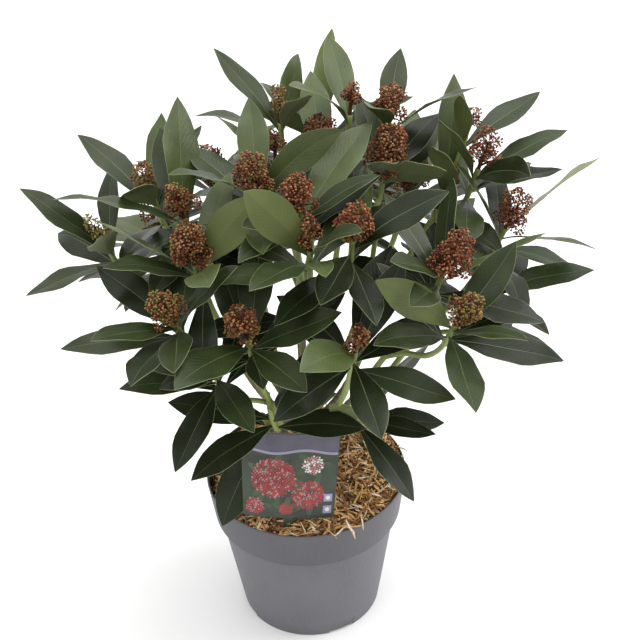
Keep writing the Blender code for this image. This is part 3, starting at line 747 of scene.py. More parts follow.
def bezier(start: Vector, start_way: Vector, end: Vector, end_way: Vector, count: int,
           pull_share: float = 0.38) -> list[Vector]:
    """Points on a cubic curve.

    Args:
        start: First point.
        start_way: Direction there.
        end: Last point.
        end_way: Direction there.
        count: Number of points.
        pull_share: How far the curve follows the two directions.

    Returns:
        The points.
    """
    pull = (end - start).length * pull_share
    b, c = start + start_way * pull, end - end_way * pull
    points = []
    for i in range(count):
        t = i / (count - 1)
        u = 1.0 - t
        points.append(start * u**3 + b * 3 * u * u * t + c * 3 * u * t * t + end * t**3)
    return points


def taper(first: float, last: float, count: int) -> list[float]:
    """Evenly changing radii from the first to the last."""
    return [first + (last - first) * i / (count - 1) for i in range(count)]


def tube(limb: Limb, sides: int) -> Shape:
    """Closed tube of a limb, its ends cut square.

    Args:
        limb: The limb.
        sides: Sides of its section.

    Returns:
        Vertices and faces.
    """
    vertices = []
    path, last = limb.path, len(limb.path) - 1
    across = limb.start_way.orthogonal()
    for i, point in enumerate(path):
        along = limb.end_way if i == last else limb.start_way
        if 0 < i < last:
            along = (path[i + 1] - path[i - 1]).normalized()
        across = (across - along * across.dot(along)).normalized()
        other = along.cross(across)
        for k in range(sides):
            turn = math.tau * k / sides
            spoke = across * math.cos(turn) + other * math.sin(turn)
            vertices.append(point + spoke * limb.radii[i])
    caps = [tuple(reversed(range(sides))), tuple(range(last * sides, (last + 1) * sides))]
    return vertices, ring_faces(last + 1, sides) + caps


def spokes(axis: Vector) -> tuple[Vector, Vector]:
    """Two directions square to an axis and to each other."""
    first = axis.cross(Vector((0.0, 1.0, 0.0))).normalized()
    return first, axis.cross(first)


def extent(points: list[Vector]) -> tuple[list[float], list[float]]:
    """Lowest and highest coordinates of some points."""
    low, high = ([pick(v[i] for v in points) for i in range(3)] for pick in (min, max))
    return low, high


@dataclass
class Leaf:
    """A leaf that arches in the plane of its outward direction and the shoot's axis."""

    root: Vector
    out: Vector
    axis: Vector
    rise: float
    bend: float
    roll: float
    length: float
    level: float = 0.5
    petiole: float = 1.1 * MM
    slenderness: float = 0.355
    fold: float = 0.09
    depth: float = 1.2 * MM
    stations: tuple[float, ...] = (0.0, 0.34, 0.70)

    def at(self, share: float) -> tuple[Vector, Vector, Vector]:
        """Place on the midrib.

        Args:
            share: How far along the leaf it is, from 0 to 1.

        Returns:
            The point, the way across the blade and the way up from it.
        """
        start = math.radians(self.rise + self.bend / 2)
        bend = math.radians(self.bend)
        angle = start - bend * share
        forward = (math.sin(start) - math.sin(angle)) / bend
        upward = (math.cos(angle) - math.cos(start)) / bend
        point = self.root + (self.out * forward + self.axis * upward) * self.length
        along = self.out * math.cos(angle) + self.axis * math.sin(angle)
        normal = self.axis * math.cos(angle) - self.out * math.sin(angle)
        turn = Matrix.Rotation(math.radians(self.roll), 3, along)
        return point, turn @ along.cross(normal), turn @ normal

    def half_width(self, share: float) -> float:
        """Half the blade's width: a long ellipse with a tapered foot and a pointed tip."""
        blade = math.sin(math.pi * share**1.1) ** 1.25
        return max(self.petiole, blade * self.length * self.slenderness / 2)

    def solid(self, clearance: float = 0.0, start: int = 0) -> Shape:
        """Coarse closed blade, as its solid has it.

        Args:
            clearance: How much larger it is made all round.
            start: First station, 1 for the blade without its foot.

        Returns:
            Vertices and faces.
        """
        vertices = []
        for share in self.stations[start:]:
            point, side, normal = self.at(share)
            half = self.half_width(share)
            lift = normal * (half * self.fold + clearance)
            half += clearance * 1.5
            vertices += [point - side * half + lift, point + side * half + lift,
                         point - normal * (self.depth + clearance)]
        vertices.append(self.at(1.0 + clearance / self.length)[0])
        rows = len(self.stations) - start
        top = 3 * (rows - 1)
        tip = [(top + a, top + b, top + 3) for a, b in ((0, 1), (1, 2), (2, 0))]
        return vertices, [*ring_faces(rows, 3), *tip, (2, 1, 0)]


@dataclass
class Blade:
    """A wished leaf of one shoot, before its place is tested."""

    mass: str
    shoot: int
    root: Vector
    axis: Vector
    azimuth: float
    rise: float
    bend: float
    roll: float
    length: float
    level: float

    def leaf(self, turn: float, tilt: float, size: float) -> Leaf:
        """The leaf itself, nudged.

        Args:
            turn: Degrees that it is turned by.
            tilt: Degrees that it is tilted by.
            size: Share of its length.

        Returns:
            The leaf.
        """
        first, second = spokes(self.axis)
        azimuth = math.radians(self.azimuth + turn)
        out = first * math.cos(azimuth) + second * math.sin(azimuth)
        rise, length = self.rise + tilt, self.length * size
        return Leaf(self.root, out, self.axis, rise, self.bend, self.roll, length, self.level)


@dataclass(frozen=True)
class Owner:
    """What a placed shape belongs to: limbs and pot have no mass."""

    mass: str = ""
    shoot: int = 0
    whole: bool = True


class Space:
    """Everything that has its place, to test a new leaf against."""

    def __init__(self) -> None:
        """Starts empty."""
        self.pieces: list[tuple[Owner, BVHTree, list[float], list[float]]] = []

    def add(self, owner: Owner, vertices: list[Vector], faces: list[Face]) -> None:
        """Gives a shape its place.

        Args:
            owner: What it belongs to.
            vertices: Its points.
            faces: Its faces.
        """
        self.pieces.append((owner, BVHTree.FromPolygons(vertices, faces), *extent(vertices)))

    def hits(self, vertices: list[Vector], faces: list[Face], counts: Callable[[Owner], bool]) -> bool:
        """Whether a shape touches another.

        Args:
            vertices: The shape's points.
            faces: The shape's faces.
            counts: Tells whose shapes count.

        Returns:
            True where it touches one that counts.
        """
        low, high = extent(vertices)
        tree = None
        for owner, other, its_low, its_high in self.pieces:
            apart = any(low[i] > its_high[i] or high[i] < its_low[i] for i in range(3))
            if apart or not counts(owner):
                continue
            tree = tree or BVHTree.FromPolygons(vertices, faces)
            if tree.overlap(other):
                return True
        return False


@dataclass
class Plan:
    """The shrub's plan: its table of shoots, and the limbs and leaves that follow from it."""

    seat_height: float = 158 * MM
    stem_top: float = 62 * MM
    stem_profile: tuple[Pair, ...] = ((0.0, 11.5), (0.06, 9.6), (0.20, 8.4), (0.65, 7.6), (1.0, 6.2))
    stem_lean: Pair = (3 * MM, 5 * MM)
    tier_heights: tuple[float, ...] = (18 * MM, 38 * MM, 56 * MM)
    tier_rises: tuple[float, ...] = (32, 43, 56)
    tier_reaches: tuple[float, ...] = (12.5 * MM, 14 * MM, 16 * MM)
    bough_spacing: float = 46
    bough_radius: float = 3.4 * MM
    bough_tip_radius: float = 2.8 * MM
    bough_points: int = 6
    bough_share: float = 0.5
    bough_lift: float = 0.5
    twig_radius: float = 2.7 * MM
    fork_radius: float = 2.3 * MM
    twig_tip_radius: float = 2.4 * MM
    leader_points: int = 5
    first_fork: float = 0.10
    fork_step: float = 0.16
    fork_spread: float = 0.08
    focus: float = 160 * MM
    uprightness: float = 0.45
    head_to_leaves: float = 21 * MM
    bud_to_leaves: float = 3 * MM
    leaf_zone: float = 26 * MM
    leaf_length: float = 90 * MM
    leaf_rises: Pair = (46, -6)
    rise_spread: float = 7
    length_spread: Pair = (0.86, 1.08)
    turn_spread: float = 8
    bends: Pair = (12, 40)
    roll_spread: float = 14
    aimed_bend: float = 16
    egg_sides: int = 7
    egg_rings: int = 5
    egg_bumps: float = 0.16
    egg_bump_scale: float = 1.7
    clearance: float = 0.7 * MM
    mass_reach: float = 175 * MM
    middle: Triple = (0.0, 0.0, 325 * MM)
    radii: Triple = (165 * MM, 150 * MM, 155 * MM)
    rear_tilts: tuple[float, ...] = (52, 70, 88)
    rear_turns: tuple[float, ...] = (-9, 11, 0)
    nudges: tuple[Pair, ...] = (
        (0, 0), (12, 0), (-12, 0), (0, 10), (0, -10),
        (14, 12), (-14, 12), (14, -12), (-14, -12), (26, 0), (-26, 0),
        (26, 16), (-26, 16), (26, -16), (-26, -16), (0, 24), (0, -24),
        (40, 8), (-40, 8), (40, -12), (-40, -12))
    nudge_sizes: tuple[float, ...] = (1.0, 0.84)
    masses: dict[str, Mass] = field(default_factory=dict)
    boughs: dict[str, Limb] = field(default_factory=dict)
    collars: list[tuple[Vector, Vector, float]] = field(default_factory=list)
    twigs: dict[str, dict[int, Limb]] = field(default_factory=dict)
    leaves: list[tuple[str, Leaf]] = field(default_factory=list)

    def rear_shoots(self, azimuth: float) -> tuple[Shoot, ...]:
        """Three shoots one below the other on the far side, which is fuller of leaves.

        Args:
            azimuth: Where they stand round the crown, in degrees.

        Returns:
            The shoots, the uppermost first.
        """
        heads = (DENSE.dressed(RED_BUDS), ROUND.dressed(RUST_BUDS), None)
        shoots = []
        for tilt, turn, head in zip(self.rear_tilts, self.rear_turns, heads):
            around = direction(azimuth + turn, 90 - tilt)
            tip = Vector(self.middle) + around * Vector(self.radii)
            shoots.append(Shoot(tuple(tip / MM), leaves=9, head=head))
        return tuple(shoots)

    def write_masses(self) -> None:
        """Fills the table of masses: where each shoot ends, and its best seen leaves."""
        self.masses = {
            "left": Mass(1, (
                Shoot((-122, 30, 446), ((144, 29, 95), (97, 40, 85)), 8, ROUND.dressed(OLIVE_BUDS)),
                Shoot((-164, 10, 410), ((167, 38, 94), (-87, 22, 70)), 8,
                      SLIM.dressed(STRAW_BUDS, 0.7)))),
            "left_front": Mass(1, (
                Shoot((-81, -80, 447), ((-10, 63, 85), (162, 23, 100)), 8, DENSE.dressed(RUST_BUDS)),
                Shoot((-99, -105, 409), ((-138, 30, 85), (-110, 8, 90)), 9, DENSE.dressed(OLIVE_BUDS)))),
            "upper_left": Mass(2, (
                Shoot((-91, -25, 458), ((93, 58, 104), (-153, 43, 90)), 8, ROUND.dressed(RUST_BUDS)),
                Shoot((-30, -30, 482), ((94, 42, 90), (140, 22, 80)), 8, DENSE.dressed(RUST_BUDS)))),
            "upper_back": Mass(2, (
                Shoot((-9, 65, 495), ((146, 44, 90),), 7, SLIM.dressed(OLIVE_BUDS, 0.6)),
                Shoot((-14, 30, 478), ((-163, 50, 70),), 5, SMALL.dressed(RUST_BUDS)),
                Shoot((26, 85, 474), ((79, 49, 100),), 8, SMALL.dressed(RUST_BUDS)))),
            "middle": Mass(2, (
                Shoot((2, -55, 475), ((50, 18, 112), (104, 36, 72)), 7, DENSE.dressed(RED_BUDS)),
                Shoot((13, -90, 462), ((-155, 55, 90), (-80, 23, 70)), 7, SLIM.dressed(RUST_BUDS)),
                Shoot((47, -80, 464), ((91, 30, 80), (-120, 5, 80)), 7, DENSE.dressed(RUST_BUDS)))),
            "upper_right": Mass(2, (
                Shoot((78, 20, 470), ((100, 42, 100), (35, 32, 85), (-59, 30, 80)), 8,
                      LARGE.dressed(BROWN_BUDS)),
                Shoot((25, 30, 479), ((106, 39, 90),), 6, DENSE.dressed(RED_BUDS)),
                Shoot((51, 65, 500), ((80, 37, 85),), 6, SMALL.dressed(RED_BUDS)),
                Shoot((84, 65, 491), ((65, 36, 80),), 7, ROUND.dressed(RED_BUDS)))),
            "right": Mass(1, (
                Shoot((133, 40, 436), ((75, 64, 105),), 7, SMALL.dressed(RED_BUDS)),
                Shoot((150, 50, 482), ((34, 17, 90), (-105, 70, 60)), 6, SMALL.dressed(RED_BUDS, 0.6)),
                Shoot((161, 40, 457), ((17, 42, 88), (-138, 59, 85), (43, -9, 80)), 8,
                      DENSE.dressed(RED_BUDS, 0.5)))),
            "right_edge": Mass(0, (
                Shoot((184, 15, 412), ((21, 46, 112), (166, 62, 85)), 8, DENSE.dressed(RED_BUDS, 0.5)),
                Shoot((160, -20, 352), (), 7))),
            "right_front": Mass(1, (
                Shoot((121, -80, 431), ((77, 37, 90), (24, 10, 100)), 9, LARGE.dressed(RED_BUDS)),
                Shoot((129, -105, 396), ((27, 1, 70), (-55, 22, 80), (-84, 0, 100)), 9,
                      ROUND.dressed(OLIVE_BUDS)))),
            "front_left": Mass(0, (
                Shoot((-40, -130, 408), ((160, -12, 85), (80, 43, 90), (-57, 5, 80)), 9,
                      DENSE.dressed(RUST_BUDS)),
                Shoot((-67, -110, 348), ((-178, 0, 80), (-115, -20, 85)), 6),
                Shoot((-26, -81, 285), ((172, 8, 90), (-60, 10, 80)), 5))),
            "front_right": Mass(0, (
                Shoot((46, -140, 399), ((96, 39, 100), (25, -4, 90), (53, 35, 90)), 9,
                      SLIM.dressed(RUST_BUDS)),
                Shoot((50, -58, 262), ((-48, -34, 84), (5, -8, 78), (-20, 0, 70)), 6))),
            "low_left": Mass(0, (
                Shoot((-34, -40, 248), ((-121, -30, 104),), 5),)),
            "rear_left": Mass(1, self.rear_shoots(133)),
            "rear_middle": Mass(0, self.rear_shoots(90)),
            "rear_right": Mass(1, self.rear_shoots(47)),
        }

    def shoot_axis(self, tip: Vector) -> Vector:
        """Direction a shoot grows in: away from the crown's foot, then bent upward."""
        return ((tip - UP * self.focus).normalized() + UP * self.uprightness).normalized()

    def whorl_top(self, shoot: Shoot) -> Vector:
        """Highest leaf's place on a shoot: just under its bud, or under its flower head."""
        tip = shoot.place()
        return tip - self.shoot_axis(tip) * (self.head_to_leaves if shoot.head else self.bud_to_leaves)

    def whorl_foot(self, shoot: Shoot) -> Vector:
        """Lowest leaf's place on a shoot."""
        return self.whorl_top(shoot) - self.shoot_axis(shoot.place()) * self.leaf_zone

    def mass_middle(self, mass: Mass) -> Vector:
        """Middle of the lowest leaves of a mass's shoots."""
        feet = [self.whorl_foot(shoot) for shoot in mass.shoots]
        return sum(feet, Vector()) / len(feet)

    def stem_point(self, height: float) -> Vector:
        """Point on the main stem's leaning middle line, at a height above the mulch."""
        lean = Vector((*self.stem_lean, 0.0)) * (height / self.stem_top) ** 1.5
        return UP * (self.seat_height + GAP + height) + lean

    def bough_azimuths(self) -> dict[str, float]:
        """Way out of the stem of each bough: toward its mass, but spaced round its tier.

        Returns:
            The ways in degrees, by the masses' names.
        """
        azimuths = {}
        for tier, height in enumerate(self.tier_heights):
            ways = {}
            for name, mass in self.masses.items():
                if mass.tier == tier:
                    lean = self.mass_middle(mass) - self.stem_point(height)
                    ways[name] = math.degrees(math.atan2(lean.y, lean.x)) % 360
            for _ in range(len(ways) ** 2):
                names = sorted(ways, key=ways.get)
                for name, following in zip(names, names[1:] + names[:1]):
                    lack = self.bough_spacing - (ways[following] - ways[name]) % 360
                    if lack > 0:
                        ways[name] -= lack / 2
                        ways[following] += lack / 2
            azimuths.update(ways)
        return azimuths

    def bough_of(self, mass: Mass, azimuth: float) -> tuple[Limb, tuple[Vector, Vector, float]]:
        """Bough from its collar on the main stem to where its mass begins.

        Args:
            mass: The mass that it carries.
            azimuth: Way out of the stem, in degrees.

        Returns:
            The bough, and its collar's base, way and reach.
        """
        middle = self.mass_middle(mass)
        base = self.stem_point(self.tier_heights[mass.tier])
        lean = (middle - base).normalized()
        out = direction(azimuth, self.tier_rises[mass.tier])
        reach = self.tier_reaches[mass.tier]
        start = base + out * (reach + GAP)
        end_way = (lean + UP * self.bough_lift).normalized()
        end = base + (middle - base) * self.bough_share
        path = bezier(start, out, end, end_way, self.bough_points)
        radii = taper(self.bough_radius, self.bough_tip_radius, self.bough_points)
        return Limb(path, radii, out, end_way), (base, out, reach)

    def twigs_of(self, mass: Mass, bough: Limb, rng: random.Random) -> dict[int, Limb]:
        """Twigs of a mass: the straightest shoot leads, and the others fork off it.

        Args:
            mass: The mass.
            bough: Its bough.
            rng: Source of the spread between forks.

        Returns:
            A twig for each shoot's number, the leader first.
        """
        root = bough.path[-1] + bough.end_way * GAP

        def straightness(number: int) -> float:
            """How little a shoot turns off the bough."""
            return (self.whorl_foot(mass.shoots[number]) - root).normalized().dot(bough.end_way)

        twigs, leader = {}, None
        for rank, number in enumerate(sorted(range(len(mass.shoots)), key=straightness, reverse=True)):
            tip = mass.shoots[number].place()
            axis = self.shoot_axis(tip)
            foot = self.whorl_foot(mass.shoots[number])
            if leader is None:
                way, thick = bough.end_way, self.twig_radius
                leader = bend = bezier(root, way, foot, axis, self.leader_points)
            else:
                at = self.first_fork + self.fork_step * rank + rng.uniform(0, self.fork_spread)
                spans = self.leader_points - 1
                k = int(at * spans)
                start = leader[k].lerp(leader[k + 1], at * spans - k)
                run = (leader[k + 1] - leader[k]).normalized()
                way, thick = (run + (foot - start).normalized()).normalized(), self.fork_radius
                bend = bezier(start, way, foot, axis, self.leader_points - 1)
            path = bend + [tip if mass.shoots[number].head else tip - axis * MM]
            twigs[number] = Limb(path, taper(thick, self.twig_tip_radius, len(path)), way, axis)
        return twigs

    def head_solid(self, shoot: Shoot, rng: random.Random) -> Shape:
        """Coarse egg of a flower head, as its solid has it.

        Args:
            shoot: The shoot that it ends.
            rng: Source of its bumps.

        Returns:
            Vertices and faces.
        """
        tip = shoot.place()
        turn = self.shoot_axis(tip).to_track_quat("Z", "X").to_matrix()
        bm = bmesh.new()
        bmesh.ops.create_uvsphere(bm, u_segments=self.egg_sides, v_segments=self.egg_rings, radius=1.0)
        offset = Vector((rng.uniform(0, 50), rng.uniform(0, 50), 0.0))
        half = Vector((shoot.head.width, shoot.head.width, shoot.head.height)) * (MM / 2)
        vertices = []
        for v in bm.verts:
            bump = 1.0 + self.egg_bumps * noise.noise(v.co * self.egg_bump_scale + offset)
            vertices.append(tip + turn @ (v.co * half * bump))
        faces = [tuple(v.index for v in face.verts) for face in bm.faces]
        bm.free()
        return vertices, faces

    def wished_blades(self, mass: str, number: int, shoot: Shoot,
                      rng: random.Random) -> list[tuple[bool, Blade]]:
        """Leaves of one shoot: the aimed ones, and the others dealt out by the golden angle.

        Args:
            mass: Name of the mass.
            number: The shoot's number in it.
            shoot: The shoot.
            rng: Source of the leaves' differences.

        Returns:
            Whether each leaf is aimed, and the leaf.
        """
        axis = self.shoot_axis(shoot.place())
        first, second = spokes(axis)
        top = self.whorl_top(shoot)
        aims = []
        for azimuth, rise, length in shoot.aims:
            way = direction(azimuth, rise)
            turn = math.degrees(math.atan2(way.dot(second), way.dot(first)))
            aims.append((turn, math.degrees(math.asin(way.dot(axis))), length * MM))
        phase = aims[0][0] if aims else rng.uniform(0, 360)
        wishes = {}
        for turn, rise, length in aims:
            def distance(k: int, turn: float = turn) -> float:
                """Degrees between a dealt leaf and the aim."""
                return abs((phase + GOLDEN_ANGLE * k - turn + 180) % 360 - 180)
            slot = min((k for k in range(shoot.leaves) if k not in wishes), key=distance)
            wishes[slot] = (turn, rise, length)
        blades = []
        high, low = self.leaf_rises
        for k in range(shoot.leaves):
            level = k / (shoot.leaves - 1)
            rise = high + (low - high) * level + rng.uniform(-self.rise_spread, self.rise_spread)
            length = self.leaf_length * rng.uniform(*self.length_spread)
            turn = phase + GOLDEN_ANGLE * k + rng.uniform(-self.turn_spread, self.turn_spread)
            bend, roll = rng.uniform(*self.bends), rng.uniform(-self.roll_spread, self.roll_spread)
            if k in wishes:
                turn, rise, length = wishes[k]
                level, bend, roll = 0.5 * (1 - rise / 90), self.aimed_bend, 0
            root = top - axis * (self.leaf_zone * level)
            blade = Blade(mass, number, root, axis, turn, rise, bend, roll, length, level)
            blades.append((k in wishes, blade))
        return blades

    def place_leaf(self, space: Space, blade: Blade, middle: Vector, aimed: bool) -> Leaf | None:
        """The first nudge of a leaf that keeps it clear.

        Args:
            space: What has its place already.
            blade: The wished leaf.
            middle: Middle of its mass.
            aimed: Whether it may cross its own mass.

        Returns:
            The leaf, or None where no nudge keeps it clear.
        """

        def other_mass(owner: Owner) -> bool:
            """Whether it is no part of the leaf's mass."""
            return owner.whole and owner.mass != blade.mass

        def other_shoot(owner: Owner) -> bool:
            """Whether it is another shoot of the leaf's mass."""
            return owner.whole and owner.mass == blade.mass and owner.shoot != blade.shoot

        def own_whorl(owner: Owner) -> bool:
            """Whether it is a blade or the head of the leaf's own shoot."""
            return not owner.whole and owner.mass == blade.mass and owner.shoot == blade.shoot

        second_best = None
        for size in self.nudge_sizes:
            for turn, tilt in self.nudges:
                leaf = blade.leaf(turn, tilt, size)
                whole, outer = leaf.solid(self.clearance), leaf.solid(self.clearance, start=1)
                beyond = (leaf.at(1.0)[0] - middle).length > self.mass_reach
                if beyond or space.hits(*whole, other_mass):
                    continue
                if not (space.hits(*whole, other_shoot) or space.hits(*outer, own_whorl)):
                    return leaf
                second_best = second_best or leaf
        return second_best if aimed else None

    def grow(self, solids: dict[str, Piece]) -> None:
        """Works out every limb and leaf.

        Args:
            solids: The frame's nodes by name.
        """
        self.write_masses()
        rng = random.Random(SEED)
        space = Space()
        for name in ("pot", "mulch", "label"):
            space.add(Owner(), *solid_shape(solids[name]))
        azimuths = self.bough_azimuths()
        for name, mass in self.masses.items():
            self.boughs[name], collar = self.bough_of(mass, azimuths[name])
            self.collars.append(collar)
            space.add(Owner(), *tube(self.boughs[name], 6))
        space.add(Owner(), *solid_shape(solids["main_stem"]))
        for name, mass in self.masses.items():
            self.twigs[name] = self.twigs_of(mass, self.boughs[name], rng)
            for number, twig in self.twigs[name].items():
                space.add(Owner(name, number), *tube(twig, 4))
            for number, shoot in enumerate(mass.shoots):
                if shoot.head:
                    shape = self.head_solid(shoot, rng)
                    space.add(Owner(name, number), *shape)
                    space.add(Owner(name, number, whole=False), *shape)
        blades = [pair for name, mass in self.masses.items() for number, shoot in enumerate(mass.shoots)
                  for pair in self.wished_blades(name, number, shoot, rng)]
        for aimed in (True, False):
            for was_aimed, blade in blades:
                if was_aimed != aimed:
                    continue
                tips = [shoot.place() for shoot in self.masses[blade.mass].shoots]
                leaf = self.place_leaf(space, blade, sum(tips, Vector()) / len(tips), aimed)
                if leaf:
                    self.leaves.append((blade.mass, leaf))
                    space.add(Owner(blade.mass, blade.shoot), *leaf.solid())
                    space.add(Owner(blade.mass, blade.shoot, whole=False), *leaf.solid(start=1))
        LOG.info("%d of %d leaves have their place", len(self.leaves), len(blades))


def solid_shape(solid: Piece) -> Shape:
    """World points and faces of one of the frame's solids."""
    points = [solid.matrix_world @ v.co for v in solid.data.vertices]
    return points, [tuple(p.vertices) for p in solid.data.polygons]


# Pot, growing medium and mulch


@dataclass
class Pot:
    """Round nursery pot with a stepped collar, a thin rim and a notched foot ring."""

    sides: int = 144
    height: float = 152 * MM
    rim_radius: float = 92 * MM
    collar_radius: float = 87 * MM
    collar_bottom: float = 111 * MM
    body_radius: float = 82 * MM
    base_radius: float = 65.5 * MM
    wall: float = 1.6 * MM
    foot_height: float = 4 * MM
    foot_width: float = 4.5 * MM
    pad_radius: float = 12 * MM
    notches: int = 4
    notch_azimuth: float = -65.5
    notch_width: float = 26 * MM

    def profile(self) -> list[tuple[float, float, Finish]]:
        """The pot's outline, from the underside's middle to the floor inside.

        Returns:
            Radius, height and finish of each ring.
        """
        floor = self.foot_height + self.wall
        rim, top, wall = self.rim_radius, self.height, self.wall
        ring = self.base_radius - self.foot_width
        body = [(self.base_radius + (self.body_radius - self.base_radius) * k / 8,
                 (self.collar_bottom - 2 * MM) * k / 8, POT_PLASTIC) for k in range(1, 9)]
        collar = [(self.collar_radius + (rim - self.collar_radius) * k / 5,
                   self.collar_bottom + 0.9 * MM + (top - 3 * MM - self.collar_bottom) * k / 5, POT_COLLAR)
                  for k in range(6)]
        return [
            (self.pad_radius, 0.0, POT_PLASTIC),
            (self.pad_radius + 2 * MM, self.foot_height, POT_PLASTIC),
            (ring - 1 * MM, self.foot_height, POT_PLASTIC),
            (ring, 0.2 * MM, POT_PLASTIC), (ring + 0.3 * MM, 0.0, POT_PLASTIC),
            (self.base_radius - 0.5 * MM, 0.0, POT_PLASTIC),
            (self.base_radius, 0.6 * MM, POT_PLASTIC), *body,
            (self.body_radius + 0.8 * MM, self.collar_bottom - 1.0 * MM, POT_PLASTIC),
            (self.collar_radius - 0.9 * MM, self.collar_bottom - 0.3 * MM, POT_COLLAR), *collar,
            (rim + 0.1 * MM, top - 1.2 * MM, POT_COLLAR), (rim - 0.2 * MM, top - 0.4 * MM, POT_COLLAR),
            (rim - wall / 2, top, POT_COLLAR), (rim - wall + 0.1 * MM, top - 0.4 * MM, POT_INSIDE),
            (rim - wall, top - 1.2 * MM, POT_INSIDE),
            (self.collar_radius - wall, self.collar_bottom + wall, POT_INSIDE),
            (self.body_radius - wall, self.collar_bottom, POT_INSIDE),
            (self.base_radius - wall, floor, POT_INSIDE),
        ]

    def build(self) -> Piece:
        """Builds the pot, with its notches cut through the foot ring.

        Returns:
            The piece.
        """
        shell = Build((POT_PLASTIC, POT_COLLAR, POT_INSIDE))
        rings, count = self.profile(), self.sides
        points = [spot for radius, height, _ in rings for spot in ring_points(radius, height, count)]
        last = len(points) - count
        shell.add(points, [tuple(reversed(range(count)))], POT_PLASTIC)
        for row, (_, _, finish) in enumerate(rings[1:]):
            shell.cover(ring_faces(2, count), finish, row * count)
        shell.cover([tuple(range(last, last + count))], POT_INSIDE)
        pot = shell.piece("pot_shell", smooth_angle=28, outward=True)
        for k in range(self.notches):
            self.cut_notch(pot, self.notch_azimuth + 360 * k / self.notches)
        return pot

    def cut_notch(self, pot: Piece, azimuth: float) -> None:
        """Cuts one slanted notch in the foot ring.

        Args:
            pot: The pot.
            azimuth: The notch's place, in degrees.
        """
        turn = Matrix.Rotation(math.radians(azimuth), 4, "Z")
        corners = []
        for x in (self.base_radius - self.foot_width - 4 * MM, self.base_radius + 4 * MM):
            for z, widening in ((-2 * MM, 2 * MM), (self.foot_height - GAP, -2 * MM)):
                half = self.notch_width / 2 + widening
                corners += [turn @ Vector((x, -half, z)), turn @ Vector((x, half, z))]
        block = Build((POT_PLASTIC,))
        sides = ((0, 1, 3, 2), (4, 6, 7, 5), (0, 4, 5, 1), (2, 3, 7, 6), (0, 2, 6, 4), (1, 5, 7, 3))
        block.add(corners, sides, POT_PLASTIC)
        cutter = block.piece("notch", outward=True)
        cut = pot.modifiers.new("notch", "BOOLEAN")
        cut.operation, cut.solver, cut.object = "DIFFERENCE", "EXACT", cutter
        finished(pot)
        bpy.data.objects.remove(cutter)


def geometry_group(name: str, inputs: dict[str, tuple[str, object]],
                   fill: Callable[[Board, dict[str, Socket]], Socket]) -> Tree:
    """Geometry Nodes tree that ends in Realize Instances and Set Material.

    Args:
        name: The tree's name.
        inputs: Input names with their socket types and default values.
        fill: Function that joins the tree's own nodes and returns the instances.

    Returns:
        The tree.
    """
    tree = bpy.data.node_groups.new(name, "GeometryNodeTree")
    tree.interface.new_socket(name="Geometry", in_out="OUTPUT", socket_type="NodeSocketGeometry")
    sockets = {"Geometry": ("NodeSocketGeometry", None), **inputs, "Finish": ("NodeSocketMaterial", None)}
    for label, (kind, value) in sockets.items():
        made = tree.interface.new_socket(name=label, in_out="INPUT", socket_type=kind)
        if value is not None:
            made.default_value = value
    board = Board(tree)
    given = board.add("NodeGroupInput").outputs
    real = board.add("GeometryNodeRealizeInstances", {0: fill(board, given)})
    dressed = board.add("GeometryNodeSetMaterial", {
        "Geometry": real.outputs[0], "Material": given["Finish"]})
    board.add("NodeGroupOutput", {0: dressed.outputs[0]})
    return tree


def strewn(made: Piece, tree: Tree, values: dict[str, object]) -> Piece:
    """Strews shapes over an object with a Geometry Nodes tree.

    Args:
        made: The object.
        tree: The tree.
        values: Values for its inputs, set by the sockets' identifiers.

    Returns:
        The same object, now a plain mesh of the shapes.
    """
    modifier = made.modifiers.new("strew", "NODES")
    modifier.node_group = tree
    for item in tree.interface.items_tree:
        if item.item_type == "SOCKET" and item.in_out == "INPUT" and item.name in values:
            modifier[item.identifier] = values[item.name]
    return finished(made)


def random_value(board: Board, kind: str, low: object, high: object, seed: Socket) -> Socket:
    """Random value for each point.

    Args:
        board: The tree's nodes.
        kind: FLOAT or FLOAT_VECTOR.
        low: Least value or socket.
        high: Largest value or socket.
        seed: The seed.

    Returns:
        The value's socket.
    """
    first = 0 if kind == "FLOAT_VECTOR" else 2
    node = board.add("FunctionNodeRandomValue", {first: low, first + 1: high, 8: seed}, data_type=kind)
    return node.outputs[first // 2]


def fill_scatter(board: Board, given: dict[str, Socket]) -> Socket:
    """Splinters strewn over a surface, each turned, tilted and sized at random.

    Args:
        board: The tree's nodes.
        given: The tree's inputs by name.

    Returns:
        The instances' socket.
    """
    seed, tilt = given["Seed"], given["Tilt"]
    points = board.add("GeometryNodeDistributePointsOnFaces", {
        "Mesh": given["Geometry"], "Density": given["Density"], "Seed": seed}, distribute_method="RANDOM")
    shapes = board.add("GeometryNodeCollectionInfo", {
        "Collection": given["Shapes"], "Separate Children": True, "Reset Children": True},
        transform_space="ORIGINAL")
    back = board.math("MULTIPLY", tilt, -1.0)
    least = board.add("ShaderNodeCombineXYZ", {0: back, 1: back})
    most = board.add("ShaderNodeCombineXYZ", {0: tilt, 1: tilt, 2: math.tau})
    turn = random_value(board, "FLOAT_VECTOR", least.outputs[0], most.outputs[0], seed)
    laid = board.add("FunctionNodeRotateRotation", {0: points.outputs["Rotation"], 1: turn},
                     rotation_space="LOCAL")
    spread = board.add("GeometryNodeInstanceOnPoints", {
        "Points": points.outputs["Points"], "Instance": shapes.outputs[0], "Pick Instance": True,
        "Rotation": laid.outputs[0],
        "Scale": random_value(board, "FLOAT", given["Smallest"], given["Largest"], seed)})
    lift = board.add("ShaderNodeCombineXYZ", {2: random_value(board, "FLOAT", 0.0, given["Heap"], seed)})
    return board.add("GeometryNodeTranslateInstances", {
        "Instances": spread.outputs[0], "Translation": lift.outputs[0]}).outputs[0]


